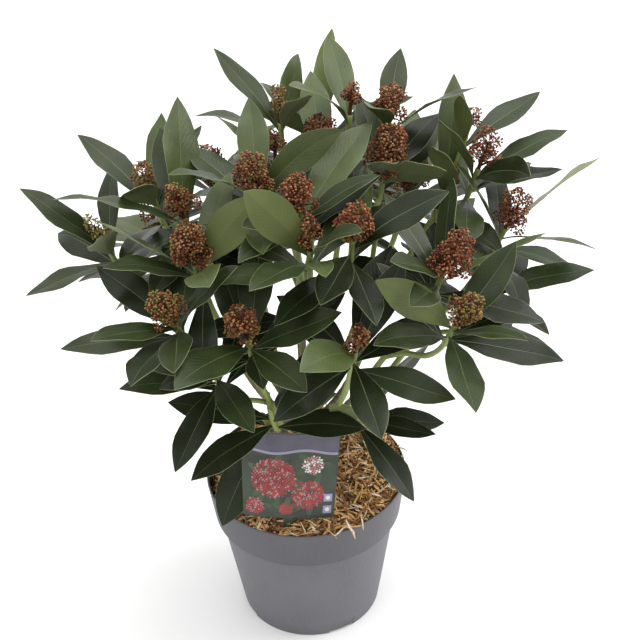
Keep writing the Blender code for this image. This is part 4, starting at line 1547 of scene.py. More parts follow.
@dataclass
class Mulch:
    """Bed of wood splinters that fills the pot nearly to its rim."""

    shapes: int = 7
    length: float = 13 * MM
    width: float = 1.7 * MM
    thickness: float = 0.8 * MM
    curl: float = 1.6 * MM
    heap: float = 3.0 * MM
    tilt: float = 0.42
    densities: tuple[tuple[WoodTint, float], ...] = (
        (WoodTint.GOLDEN, 62000.0), (WoodTint.BROWN, 46000.0), (WoodTint.PALE, 22000.0),
        (WoodTint.DARK, 22000.0))
    gap_azimuth: float = 196.0
    gap_depth: float = 7 * MM
    wall_radius: float = 89.2 * MM
    rim_height: float = 153 * MM
    gap_spread: float = 52
    gap_sharpness: float = 1.8
    gap_start: float = 78 * MM
    gap_width: float = 7 * MM
    bed_reach: float = 88 * MM
    bed_skirt: float = 5 * MM
    bed_roughness: float = 1.6 * MM
    bed_sunk: float = 1.0 * MM
    merging: float = 0.01 * MM
    rounding: float = 0.035
    sizes: Pair = (0.55, 1.35)
    width_spread: Pair = (0.5, 1.3)
    thickness_spread: Pair = (0.6, 1.3)
    wander: float = 0.3
    shortest: float = 0.55
    longer: float = 1.1
    stations: tuple[Triple, ...] = (
        (0.0, 0.55, 0.5), (0.35, 1.0, 0.0), (0.7, 0.9, 0.0), (1.0, 0.35, 0.5))
    stray_height: float = 153.4 * MM
    strays_at: tuple[tuple[float, float, float, float], ...] = (
        (-77, 25, -8, 91.4 * MM), (-71, -62, -2, 91.4 * MM), (-66, 12, -42, 93.5 * MM),
        (-64, 70, 4, 91.4 * MM), (-58, -30, -12, 91.4 * MM), (-22, 40, -4, 91.4 * MM),
        (14, -35, -6, 91.4 * MM))

    def bed(self, solid: Piece) -> Piece:
        """The bed under the splinters, which sinks to a dark gap at the wall on one side.

        Args:
            solid: The mulch's solid.

        Returns:
            The piece.
        """
        bm = bmesh.new()
        bm.from_mesh(solid.data)
        bmesh.ops.remove_doubles(bm, verts=bm.verts, dist=self.merging)
        bmesh.ops.subdivide_edges(bm, edges=bm.edges, cuts=2, use_grid_fill=True)
        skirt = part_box("mulch")[0].z + self.bed_skirt
        for v in bm.verts:
            if v.co.z > skirt and math.hypot(v.co.x, v.co.y) < self.bed_reach:
                v.co.z += self.bed_roughness * noise.noise(v.co * 130) - self.bed_sunk
            if v.co.z > skirt:
                v.co.z -= self.gap_depth * self.sinking(v.co)
        mesh = bpy.data.meshes.new("mulch_bed")
        bm.to_mesh(mesh)
        bm.free()
        mesh.materials.clear()
        mesh.materials.append(MULCH_BED.build())
        mesh.polygons.foreach_set("material_index", [0] * len(mesh.polygons))
        mesh.shade_smooth()
        return placed("mulch_bed", mesh)

    def sinking(self, point: Vector) -> float:
        """How far the bed sinks toward the gap at the wall.

        Args:
            point: A point of the bed.

        Returns:
            A share from 0 to 1.
        """
        radius = math.hypot(point.x, point.y)
        azimuth = math.degrees(math.atan2(point.y, point.x)) % 360
        beside = max(0.0, 1.0 - abs(azimuth - self.gap_azimuth) / self.gap_spread)
        outward = min(1.0, max(0.0, (radius - self.gap_start) / self.gap_width))
        return outward * min(1.0, beside * self.gap_sharpness)

    def splinter(self, rng: random.Random, length: float) -> Shape:
        """One curled sliver along X, with slanted ends.

        Args:
            rng: Source of its curl and outline.
            length: Its length.

        Returns:
            Vertices and faces.
        """
        curl, slant = rng.uniform(-1, 1) * self.curl, rng.uniform(-1, 1) * self.width
        width = self.width * rng.uniform(*self.width_spread)
        thick = self.thickness * rng.uniform(*self.thickness_spread)
        vertices = []
        for share, narrow, slanted in self.stations:
            x = (share - 0.5) * length
            bow = curl * (4 * share * (1 - share)) - curl / 2
            side = rng.uniform(-self.wander, self.wander) * width
            for y, z in ((-1, -1), (1, -1), (1, 1), (-1, 1)):
                vertices.append(Vector((x + slant * y * slanted, side + y * width / 2 * narrow,
                                        bow + z * thick / 2)))
        return vertices, [(3, 2, 1, 0), (12, 13, 14, 15), *ring_faces(len(self.stations), 4)]

    def splinter_shapes(self) -> bpy.types.Collection:
        """Makes the slivers to strew.

        Returns:
            A collection of them.
        """
        rng = random.Random(SEED)
        shapes = bpy.data.collections.new("splinter_shapes")
        for k in range(self.shapes):
            made = Build((WoodTint.GOLDEN.value,))
            length = self.length * (self.shortest + self.longer * k / self.shapes)
            made.add(*self.splinter(rng, length), WoodTint.GOLDEN.value)
            sliver = made.piece(f"splinter_shape_{k}", smooth_angle=50, outward=True)
            bpy.context.scene.collection.objects.unlink(sliver)
            shapes.objects.link(sliver)
        return shapes

    def strew(self, solid: Piece) -> list[Piece]:
        """Splinters over the bed, one piece for each tint of wood.

        Args:
            solid: The mulch's solid.

        Returns:
            The pieces.
        """
        surface = self.surface(solid)
        tree = geometry_group("strew_splinters", {
            "Density": ("NodeSocketFloat", 1000.0), "Seed": ("NodeSocketInt", 0),
            "Tilt": ("NodeSocketFloat", 0.3), "Smallest": ("NodeSocketFloat", 0.5),
            "Largest": ("NodeSocketFloat", 1.0), "Heap": ("NodeSocketFloat", 0.0),
            "Shapes": ("NodeSocketCollection", None)}, fill_scatter)
        shapes = self.splinter_shapes()
        pieces = []
        for k, (tint, density) in enumerate(self.densities):
            made = strewn(placed(f"mulch_{tint.name.lower()}", surface.copy()), tree, {
                "Density": density, "Seed": SEED + 7 * k, "Tilt": self.tilt, "Smallest": self.sizes[0],
                "Largest": self.sizes[1], "Heap": self.heap, "Shapes": shapes,
                "Finish": tint.value.build()})
            self.keep_inside(made.data)
            pieces.append(made)
        for shape in list(shapes.objects):
            bpy.data.objects.remove(shape)
        bpy.data.collections.remove(shapes)
        return pieces

    def keep_inside(self, mesh: Mesh) -> None:
        """Bends the splinters that would cross the pot's wall, so that they lie against it.

        Args:
            mesh: The splinters.
        """
        spots = []
        for v in mesh.vertices:
            radius = math.hypot(v.co.x, v.co.y)
            share = min(1.0, self.wall_radius / radius) if v.co.z < self.rim_height else 1.0
            spots.extend((v.co.x * share, v.co.y * share, v.co.z))
        mesh.vertices.foreach_set("co", spots)

    def surface(self, solid: Piece) -> Mesh:
        """Upper face of the mulch, on which splinters lie.

        Args:
            solid: The mulch's solid.

        Returns:
            The mesh.
        """
        bm = bmesh.new()
        bm.from_mesh(solid.data)
        bmesh.ops.remove_doubles(bm, verts=bm.verts, dist=self.merging)
        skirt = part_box("mulch")[0].z + self.bed_skirt + 1 * MM
        under = [f for f in bm.faces if f.normal.z < 0.5 or f.calc_center_median().z < skirt]
        bmesh.ops.delete(bm, geom=under, context="FACES")
        bmesh.ops.subdivide_edges(bm, edges=bm.edges, cuts=1, use_grid_fill=True)
        for v in bm.verts:
            shrink = 1.0 - self.rounding * (math.hypot(v.co.x, v.co.y) / (90 * MM)) ** 4
            v.co = Vector((v.co.x * shrink, v.co.y * shrink, v.co.z - self.gap_depth * self.sinking(v.co)))
        mesh = bpy.data.meshes.new("mulch_surface")
        bm.to_mesh(mesh)
        bm.free()
        return mesh

    def strays(self) -> Piece:
        """A few splinters that lie over the rim, in front and on the right.

        Returns:
            The piece.
        """
        rng = random.Random(SEED + 1)
        made = Build((WoodTint.GOLDEN.value, WoodTint.PALE.value))
        for azimuth, turned, rise, out in self.strays_at:
            vertices, faces = self.splinter(rng, self.length * rng.uniform(1.1, 1.5))
            turn = Matrix.Rotation(math.radians(azimuth + turned), 4, "Z")
            slope = Matrix.Rotation(math.radians(-rise), 4, "Y")
            place = direction(azimuth, 0) * out + UP * self.stray_height
            finish = made.finishes[rng.randrange(2)]
            made.add([place + (turn @ slope @ v) for v in vertices], faces, finish)
        return made.piece("mulch_strays", smooth_angle=50, outward=True)


# Label


@dataclass
class Label:
    """Bowed plastic card on a spike, with a printed sprig of berries that means nothing."""

    foot: Triple = (-16.5 * MM, -73 * MM, 158 * MM)
    top_width: float = 87 * MM
    bottom_width: float = 80 * MM
    height: float = 82 * MM
    thickness: float = 0.5 * MM
    bow: float = 4 * MM
    lean: float = 15
    turn: float = 4
    spike_width: float = 9 * MM
    spike_length: float = 34 * MM
    corner: float = 3 * MM
    print_height: float = 0.05 * MM
    columns: int = 32
    rows: int = 24
    corner_rows: tuple[float, ...] = (0.0, 0.006, 0.015, 0.03, 0.97, 0.985, 0.994, 1.0)
    strip_steps: int = 60
    strip_reach: float = 0.98
    ripple: float = 0.022
    spray_leaves: int = 5
    spray_leaf_reach: float = 0.92
    spray_leaf_radius: float = 7.5 * MM
    spray_leaf_squash: float = 0.38

    def matrix(self) -> Matrix:
        """The card's frame: X across, Y through the card, Z up, from its foot.

        Returns:
            The frame's place and turn.
        """
        lean = Matrix.Rotation(math.radians(-self.lean), 4, "X")
        turn = Matrix.Rotation(math.radians(self.turn), 4, "Y")
        return Matrix.Translation(self.foot) @ lean @ turn

    def point(self, across: float, up: float, through: float = 0.0) -> Vector:
        """Place on the card.

        Args:
            across: From -1 at the left edge to 1 at the right.
            up: From 0 at the foot to 1 at the top.
            through: Distance behind the card's middle.

        Returns:
            The point in the row frame.
        """
        half = (self.bottom_width + (self.top_width - self.bottom_width) * up) / 2
        at = Vector((across * half, self.bow * across * across + through, up * self.height))
        return self.matrix() @ at

    def corner_share(self, up: float) -> float:
        """How far a row reaches across, less at the rounded corners.

        Args:
            up: The row's place, from 0 at the foot to 1 at the top.

        Returns:
            A share of the card's half width.
        """
        radius = self.corner / self.height
        near = min(up, 1.0 - up)
        if near >= radius:
            return 1.0
        cut = self.corner * (1 - math.sqrt(max(0.0, 1 - (1 - near / radius) ** 2)))
        return 1.0 - cut / (self.bottom_width / 2)

    def card(self, made: Build) -> None:
        """Adds the card itself.

        Args:
            made: The piece.
        """
        ups = sorted({*self.corner_rows, *(0.03 + 0.94 * k / self.rows for k in range(self.rows + 1))})
        front, back, count = [], [], self.columns + 1
        for up in ups:
            reach = self.corner_share(up)
            for k in range(count):
                across = reach * (2 * k / self.columns - 1)
                front.append(self.point(across, up, -self.thickness / 2))
                back.append(self.point(across, up, self.thickness / 2))
        total, last = len(front), len(front) - count
        shown, rest = [], []
        for a in range(0, last, count):
            for k in range(a, a + self.columns):
                shown.append((k, k + 1, k + 1 + count, k + count))
                rest.append((total + k, total + k + count, total + k + 1 + count, total + k + 1))
            b = a + self.columns
            rest += [(a, a + count, a + count + total, a + total),
                     (b + count, b, b + total, b + count + total)]
        for k in range(self.columns):
            b = last + k
            rest += [(k + 1, k, k + total, k + 1 + total), (b, b + 1, b + 1 + total, b + total)]
        first = len(made.vertices)
        made.add(front + back, [], CARD_BACK)
        made.cover(shown, CARD_FIELD, first)
        made.cover(rest, CARD_BACK, first)

    def plate(self, made: Build, outline: Sequence[Pair], finish: Finish, layer: int = 1) -> None:
        """Adds a thin printed shape.

        Args:
            made: The piece.
            outline: Its corners on the card, anticlockwise seen from the front.
            finish: Its finish.
            layer: How many prints high it lies.
        """
        top, low = -self.thickness / 2 - self.print_height * layer, -self.thickness / 2 + 0.05 * MM
        points = [self.point(x, z, y) for y in (top, low) for x, z in outline]
        made.add(points, slab_faces(len(outline)), finish)

    def strip(self, made: Build, low: Callable[[float], float], high: Callable[[float], float],
              finish: Finish) -> None:
        """Adds a band across the card between two edges.

        Args:
            made: The piece.
            low: Height of its lower edge for a place across.
            high: Height of its upper edge.
            finish: Its finish.
        """
        edges = [self.strip_reach * (2 * k / self.strip_steps - 1) for k in range(self.strip_steps + 1)]
        for a, b in zip(edges, edges[1:]):
            self.plate(made, ((a, low(a)), (b, low(b)), (b, high(b)), (a, high(a))), finish)

    def round(self, x: float, z: float, radius: float, sides: int,
              squash: float = 1.0, turn: float = 0.0) -> list[Pair]:
        """Outline of a disc or an ellipse on the card.

        Args:
            x: Its middle across.
            z: Its middle up.
            radius: Its radius in metres.
            sides: Its corners.
            squash: Its height as a share of its width.
            turn: Its turn in radians.

        Returns:
            The outline.
        """
        outline = []
        for k in range(sides):
            a = math.tau * k / sides
            u, v = radius * math.cos(a), radius * squash * math.sin(a)
            outline.append((x + (u * math.cos(turn) - v * math.sin(turn)) / (self.bottom_width / 2),
                            z + (u * math.sin(turn) + v * math.cos(turn)) / self.height))
        return outline

    def print_sprig(self, made: Build) -> None:
        """Adds leaves and berries in loose round sprays.

        Args:
            made: The piece.
        """
        rng = random.Random(SEED + 2)
        sprays = ((-0.34, 0.47, 19, 250, (CARD_BERRY, CARD_PINK, CARD_BERRY)),
                  (0.40, 0.28, 14, 150, (CARD_BERRY, CARD_BERRY, CARD_PINK)),
                  (0.48, 0.63, 9, 60, (CARD_PINK, CARD_CREAM)),
                  (-0.74, 0.13, 8, 50, (CARD_PINK, CARD_BERRY)),
                  (-0.06, 0.10, 6, 30, (CARD_BERRY, CARD_BERRY)))
        for x, z, reach, _, _ in sprays:
            for k in range(self.spray_leaves):
                turn = math.tau * (k + rng.uniform(-0.2, 0.2)) / self.spray_leaves
                out = self.spray_leaf_reach * reach * MM
                at = (x + out * math.cos(turn) / (self.bottom_width / 2),
                      z + out * math.sin(turn) / self.height)
                if abs(at[0]) < 0.82 and 0.1 < at[1] < 0.70:
                    leaf = self.round(*at, self.spray_leaf_radius, 12, self.spray_leaf_squash, turn)
                    self.plate(made, leaf, CARD_LEAF)
        for x, z, reach, count, tints in sprays:
            for k in range(count):
                out = reach * MM * math.sqrt((k + 0.5) / count)
                turn = math.radians(GOLDEN_ANGLE * k)
                at = (x + out * math.cos(turn) / (self.bottom_width / 2),
                      z + out * math.sin(turn) / self.height)
                if abs(at[0]) < 0.94 and 0.04 < at[1] < 0.74:
                    size = rng.uniform(0.7, 1.25) * MM
                    self.plate(made, self.round(*at, size, 7), tints[rng.randrange(len(tints))], layer=2)

    def build(self) -> Piece:
        """The printed card with its spike.

        Returns:
            The piece.
        """
        made = Build(CARD_TINTS)
        self.card(made)

        def wave(height: float) -> Callable[[float], float]:
            """Edge that ripples across the card at a height."""
            return lambda x: height + self.ripple * math.sin(5 * x)

        self.strip(made, wave(0.80), lambda x: 0.985, CARD_BAND)
        self.strip(made, wave(0.765), wave(0.795), CARD_WAVE)
        self.print_sprig(made)
        for z in (0.10, 0.24):
            self.plate(made, self.round(0.84, z, 5.2 * MM, 4, 1.0, math.pi / 4), CARD_LAVENDER, layer=2)
            self.plate(made, self.round(0.84, z, 2.0 * MM, 10), CARD_CREAM, layer=3)
        half, tip = self.spike_width / 2, self.spike_width * 0.15
        front, back = -self.thickness / 2, self.thickness / 2
        frame = self.matrix()
        spike = [frame @ Vector((x, y, z)) for y in (front, back) for x, z in (
            (-half, 2 * MM), (-half, -6 * MM), (-tip, -self.spike_length), (tip, -self.spike_length),
            (half, -6 * MM), (half, 2 * MM))]
        made.add(spike, slab_faces(6), CARD_FIELD)
        return made.piece("label_card", smooth_angle=40, outward=True)


# The shrub itself


@dataclass
class Limbs:
    """Main stem and boughs, fused with a relief of bark."""

    plan: Plan
    sides: int = 14
    voxel: float = 0.75 * MM
    relief: float = 0.35 * MM
    ridge_scale: Triple = (420, 420, 70)
    ring_scale: Triple = (60, 60, 330)
    collar_radii: Pair = (4.6 * MM, 4.1 * MM)
    sunk: float = 3 * MM

    def build(self) -> Piece:
        """Builds the limbs and fuses them.

        Returns:
            The piece.
        """
        plan, made = self.plan, Build((BARK,))
        heights = [plan.stem_top * k / 12 for k in range(13)]
        path = [plan.stem_point(0.0) - UP * self.sunk] + [plan.stem_point(h) for h in heights]
        radii = [self.stem_radius(0.0)] + [self.stem_radius(h / plan.stem_top) for h in heights]
        made.add(*tube(Limb(path, radii, UP, UP), self.sides), BARK)
        for (base, out, reach), bough in zip(plan.collars, plan.boughs.values()):
            collar = Limb([base, base + out * reach * 0.5, base + out * (reach + 4 * MM)],
                          [*self.collar_radii, plan.bough_radius], out, out)
            made.add(*tube(collar, self.sides), BARK)
            made.add(*tube(finer(bough, 4), self.sides), BARK)
        limbs = made.piece("stem_and_boughs", outward=True)
        fuse = limbs.modifiers.new("fuse", "REMESH")
        fuse.mode, fuse.voxel_size, fuse.use_smooth_shade = "VOXEL", self.voxel, True
        finished(limbs)
        spots = [v.co.copy() for v in limbs.data.vertices]
        ways = [v.vector.copy() for v in limbs.data.vertex_normals]
        raised = []
        for spot, way in zip(spots, ways):
            ridges = noise.noise(spot * Vector(self.ridge_scale))
            rings = noise.noise(spot * Vector(self.ring_scale))
            raised.extend(spot + way * (self.relief * (0.7 * ridges + 0.5 * rings)))
        limbs.data.vertices.foreach_set("co", raised)
        limbs.data.materials.clear()
        limbs.data.materials.append(BARK.build())
        limbs.data.shade_smooth()
        return limbs

    def stem_radius(self, share: float) -> float:
        """Radius of the main stem.

        Args:
            share: Place on it, from 0 at its foot to 1 at its top.

        Returns:
            The radius.
        """
        profile = self.plan.stem_profile
        for (a, low), (b, high) in zip(profile, profile[1:]):
            if share <= b:
                return (low + (high - low) * (share - a) / (b - a)) * MM
        return profile[-1][1] * MM


def finer(limb: Limb, steps: int) -> Limb:
    """The same limb with more points, on a smooth curve through its own.

    Args:
        limb: The limb.
        steps: Points for each stretch of its path.

    Returns:
        The finer limb.
    """
    path, radii = [], []
    points = limb.path
    ends = [points[0] * 2 - points[1], *points, points[-1] * 2 - points[-2]]
    for k in range(len(points) - 1):
        a, b, c, d = ends[k:k + 4]
        for step in range(steps):
            t = step / steps
            path.append(0.5 * (b * 2 + (c - a) * t + (a * 2 - b * 5 + c * 4 - d) * t * t
                               + (b * 3 - a - c * 3 + d) * t ** 3))
            radii.append(limb.radii[k] + (limb.radii[k + 1] - limb.radii[k]) * t)
    return Limb(path + [points[-1]], radii + [limb.radii[-1]], limb.start_way, limb.end_way)


GROUPS = {
    "left": ("left", "left_front", "upper_left", "front_left", "low_left"),
    "middle": ("upper_back", "middle", "upper_right", "front_right"),
    "right": ("right", "right_edge", "right_front"),
    "rear": ("rear_left", "rear_middle", "rear_right"),
}


@dataclass
class Twigs:
    """Green twigs with their leaf scars, and the terminal buds of the shoots without a head."""

    plan: Plan
    sides: int = 9
    steps: int = 5
    scar: float = 0.10
    overlap: float = 4 * MM
    scar_spacing: float = 9 * MM
    above_whorl: float = 3 * MM
    bud_length: float = 9 * MM
    bud_radius: float = 2.6 * MM

    def build(self, group: str) -> Piece:
        """The twigs of one side of the crown.

        Args:
            group: Name of that side in GROUPS.

        Returns:
            The piece.
        """
        made = Build((STEM_GREEN, STALK))
        for name in GROUPS[group]:
            mass = self.plan.masses[name]
            for number, twig in self.plan.twigs[name].items():
                shoot = mass.shoots[number]
                self.add_twig(made, twig, shoot)
                if not shoot.head:
                    self.add_bud(made, shoot)
        return made.piece(f"twigs_{group}")

    def add_twig(self, made: Build, twig: Limb, shoot: Shoot) -> None:
        """Adds one twig, which ends above its whorl of leaves.

        Args:
            made: The piece.
            twig: The twig.
            shoot: The shoot that it carries.
        """
        top = self.plan.whorl_top(shoot) + twig.end_way * self.above_whorl
        path = twig.path[:-1] + [top]
        path[0] = path[0] - twig.start_way * self.overlap
        smooth = finer(Limb(path, twig.radii, twig.start_way, twig.end_way), self.steps)
        run = 0.0
        for k in range(1, len(smooth.path)):
            run += (smooth.path[k] - smooth.path[k - 1]).length
            knot = max(0.0, math.cos(run / self.scar_spacing)) ** 8
            smooth.radii[k] *= 1.0 + self.scar * knot
        made.add(*tube(smooth, self.sides), STEM_GREEN)

    def add_bud(self, made: Build, shoot: Shoot) -> None:
        """Adds the pointed bud at a shoot's end.

        Args:
            made: The piece.
            shoot: The shoot.
        """
        axis = self.plan.shoot_axis(shoot.place())
        foot = self.plan.whorl_top(shoot)
        path = [foot + axis * (self.bud_length * k / 5) for k in range(6)]
        radii = [self.bud_radius * r for r in (0.85, 1.0, 0.95, 0.72, 0.40, 0.06)]
        made.add(*tube(Limb(path, radii, axis, axis), self.sides), STEM_GREEN)


@dataclass
class Foliage:
    """Leathery leaves with a channelled rib, a pale margin and a matt under side."""

    plan: Plan
    rows: tuple[float, ...] = (0.0, 0.035, 0.08, 0.13, 0.19, 0.27, 0.36, 0.46, 0.56, 0.66, 0.75, 0.83,
                               0.90, 0.955, 1.0)
    margin: float = 0.20 * MM
    rib: float = 0.40 * MM
    lowest_leaf: float = 200 * MM
    leafy_height: float = 300 * MM
    slenderness: float = 0.312
    width_spread: Pair = (0.86, 1.10)
    widest_power: float = 1.28
    fullness: float = 0.92
    thickness: float = 0.42 * MM
    petiole_thickness: float = 1.7 * MM
    fold: float = 0.27
    camber: float = 0.16
    wave: float = 0.10
    sickle: float = 0.03
    twisted_share: float = 0.16
    twist: float = 62
    twist_spread: Pair = (0.6, 1.2)
    ripple: float = 0.9 * MM
    ripple_turns: Pair = (0.9, 1.7)
    groove: float = 0.12 * MM
    keel: float = 0.35 * MM
    foot_share: float = 0.13
    fold_line: float = 0.52
    pale_share: float = 0.35
    # Weights of whorl level (older leaves sit lower on a shoot), of height and of depth in the crown, and
    # of chance; the height and depth weights paint shade on low and inner leaves.
    darkening_weights: tuple[float, float, float, float] = (0.45, 0.50, 0.85, 0.22)
    ages: tuple[tuple[LeafTint, float], ...] = (
        (LeafTint.MID, -0.14), (LeafTint.DARK, 0.16), (LeafTint.DEEP, 0.52))
    shown_breadth: float = 1.15
    viewer: Triple = (0.0, -0.82, 0.57)
    shown_from_below: tuple[int, ...] = (4, 17)
    steered: tuple[tuple[int, float, float, float, float], ...] = (
        (53, -147, -58, 104 * MM, -40), (46, -15, 32, 66 * MM, 0), (185, -125, 48, 60 * MM, 0),
        (168, -80, 10, 60 * MM, 0))

    def half_width(self, leaf: Leaf, share: float) -> float:
        """Half the blade's width: a slim foot, full shoulders past the middle and a short tip.

        Args:
            leaf: The leaf.
            share: How far along it, from 0 to 1.

        Returns:
            The half width.
        """
        blade = max(0.0, math.sin(math.pi * share**self.widest_power)) ** self.fullness
        width = blade * leaf.length * leaf.slenderness / 2
        return max(width, leaf.petiole * (1.0 - 0.86 * share**3))

    def posed(self, number: int, leaf: Leaf, rng: random.Random) -> Leaf:
        """The leaf as it is shown: a few twist, a few turn their under side to the view, and a few listed
        ones get their own way and length.

        Args:
            number: The leaf's number in the plan.
            leaf: The planned leaf.
            rng: Source of chance.

        Returns:
            The leaf with its own turn, way and width.
        """
        roll = leaf.roll
        if leaf.level < 0.5 and rng.random() < self.twisted_share:
            roll += self.twist * rng.choice((-1, 1)) * rng.uniform(*self.twist_spread)
        slenderness = self.slenderness * rng.uniform(*self.width_spread)
        if number in self.shown_from_below:
            _, side, normal = replace(leaf, roll=0.0).at(0.5)
            viewer = Vector(self.viewer)
            roll = (math.degrees(math.atan2(side.dot(viewer), normal.dot(viewer))) + 360) % 360 - 180
            slenderness = self.slenderness * self.shown_breadth
        for steered, azimuth, rise, length, rolled in self.steered:
            if steered == number:
                roll += rolled
                way = direction(azimuth, rise)
                share = way.dot(leaf.axis)
                out = (way - leaf.axis * share).normalized()
                leaf = replace(leaf, out=out, rise=math.degrees(math.asin(share)), length=length)
        return replace(leaf, roll=roll, slenderness=slenderness)

    def tints(self, number: int, leaf: Leaf, rng: random.Random) -> tuple[Finish, Finish]:
        """Upper and under finish of a leaf: fresher near the top of a whorl, and darker low in the crown
        and deep inside it as painted shade.

        Args:
            number: The leaf's number in the plan.
            leaf: The leaf.
            rng: Source of chance.

        Returns:
            The two finishes.
        """
        out = [(leaf.at(0.7)[0] - Vector(self.plan.middle))[i] / self.plan.radii[i] for i in range(3)]
        depth = 1.0 - min(1.0, Vector(out).length)
        height = (leaf.root.z - self.lowest_leaf) / self.leafy_height
        by_level, by_height, by_depth, chance = self.darkening_weights
        # Whorl level darkens older leaves; height and depth darken low and inner leaves as painted shade.
        age_and_shade = by_level * leaf.level + by_height * (1 - height) + by_depth * depth + rng.gauss(0, chance)
        upper = LeafTint.FRESH
        for tint, least in self.ages:
            if age_and_shade > least:
                upper = tint
        pale = rng.random() < self.pale_share and number not in self.shown_from_below
        under = UnderTint.PALE if pale else UnderTint.OLIVE
        return upper.value, under.value

    def add_leaf(self, made: Build, number: int, leaf: Leaf, rng: random.Random) -> None:
        """Adds one leaf.

        Args:
            made: The piece.
            number: The leaf's number in the plan.
            leaf: The leaf, posed.
            rng: Source of its waves.
        """
        upper, under = self.tints(number, leaf, rng)
        phases = [rng.uniform(0, math.tau) for _ in range(3)]
        turns = rng.uniform(*self.ripple_turns)
        sickle = rng.uniform(-1, 1) * self.sickle * leaf.length
        top, low, places = [], [], []
        for share in self.rows:
            point, side, normal = leaf.at(share)
            half = self.half_width(leaf, share)
            point = point + side * (sickle * math.sin(math.pi * share) * share)
            point = point + normal * (self.ripple * math.sin(math.tau * share * turns + phases[2]) * share)
            edge, rib = min(0.30, self.margin / half), min(0.30, self.rib * (1.1 - share) / half)
            stem = max(0.0, 1 - share / self.foot_share)
            thick = self.thickness + (self.petiole_thickness - self.thickness) * stem ** 1.5
            for t in (-1.0, edge - 1.0, -self.fold_line, -rib, rib, self.fold_line, 1.0 - edge, 1.0):
                lift = half * (self.fold * abs(t) - self.camber * t * t)
                phase = phases[0] if t < 0 else phases[1]
                lift += self.wave * half * t * t * math.sin(math.tau * share * turns * 1.6 + phase)
                near_rib = abs(t) <= rib + 1e-6
                groove = -self.groove if near_rib else 0.0
                keel = self.keel * (1 - share) if near_rib else 0.0
                round_off = thick * 0.35 * t * t * stem
                at = point + side * (half * t)
                top.append(at + normal * (lift + groove - round_off))
                low.append(at + normal * (lift - thick - keel + round_off))
                places.append((share, 0.5 + t / 2))
        self.add_faces(made, top, low, places, upper, under)

    def add_faces(self, made: Build, top: list[Vector], low: list[Vector],
                  places: list[Pair], upper: Finish, under: Finish) -> None:
        """Joins a leaf's two sides into one closed blade.

        Args:
            made: The piece.
            top: Points of the upper side, eight a row.
            low: Points of the under side.
            places: Their UV places.
            upper: Finish of the upper side.
            under: Finish of the under side.
        """
        first, total, last = len(made.vertices), len(top), len(top) - 8
        made.add(top + low, [], upper, places * 2)
        skins = {finish: [] for finish in (upper, under, RIB, MARGIN)}
        for a in range(0, last, 8):
            for k in range(7):
                b, c = a + k, a + k + 8
                strip = MARGIN if k in (0, 6) else RIB if k == 3 else None
                skins[strip or upper].append((b, b + 1, c + 1, c))
                back = (b + total, c + total, c + 1 + total, b + 1 + total)
                skins[RIB if strip is RIB else under].append(back)
            skins[MARGIN] += [(a, a + 8, a + 8 + total, a + total),
                              (a + 15, a + 7, a + 7 + total, a + 15 + total)]
        skins[RIB] += [(*range(7, -1, -1), *range(total, total + 8)),
                       (*range(last, total), *range(2 * total - 1, total + last - 1, -1))]
        for finish, faces in skins.items():
            made.cover(faces, finish, first)

    def build(self, group: str) -> Piece:
        """The leaves of one side of the crown.

        Args:
            group: Name of that side in GROUPS.

        Returns:
            The piece.
        """
        made = Build([*(tint.value for tint in (*LeafTint, *UnderTint)), RIB, MARGIN])
        rng = random.Random(SEED + len(group))
        for number, (mass, leaf) in enumerate(self.plan.leaves):
            if mass in GROUPS[group]:
                self.add_leaf(made, number, self.posed(number, leaf, rng), rng)
        return made.piece(f"leaves_{group}", smooth_angle=24)


def fill_strew(board: Board, given: dict[str, Socket]) -> Socket:
    """One small shape on every point, turned along the point's own direction.

    Args:
        board: The tree's nodes.
        given: The tree's inputs by name.

    Returns:
        The instances' socket.
    """
    shape = board.add("GeometryNodeObjectInfo", {"Object": given["Shape"]}, transform_space="ORIGINAL")
    way = board.add("GeometryNodeInputNamedAttribute", {"Name": "outward"}, data_type="FLOAT_VECTOR")
    aligned = board.add("FunctionNodeAlignRotationToVector", {"Vector": way.outputs[0]}, axis="Z")
    return board.add("GeometryNodeInstanceOnPoints", {
        "Points": given["Geometry"], "Instance": shape.outputs["Geometry"], "Rotation": aligned.outputs[0],
        "Scale": random_value(board, "FLOAT", given["Smallest"], given["Largest"],
                              given["Seed"])}).outputs[0]


def spiral(count: int, span: float, spin: float) -> list[Vector]:
    """Unit directions dealt out by the golden angle, from the top down.

    Args:
        count: How many.
        span: How far down they reach, 2 for the whole ball.
        spin: The first one's turn in radians.

    Returns:
        The directions.
    """
    ways = []
    for k in range(count):
        level = 1.0 - (k + 0.5) / count * span
        ring = math.sqrt(max(0.0, 1.0 - level * level))
        around = spin + math.radians(GOLDEN_ANGLE * k)
        ways.append(Vector((ring * math.cos(around), ring * math.sin(around), level)))
    return ways


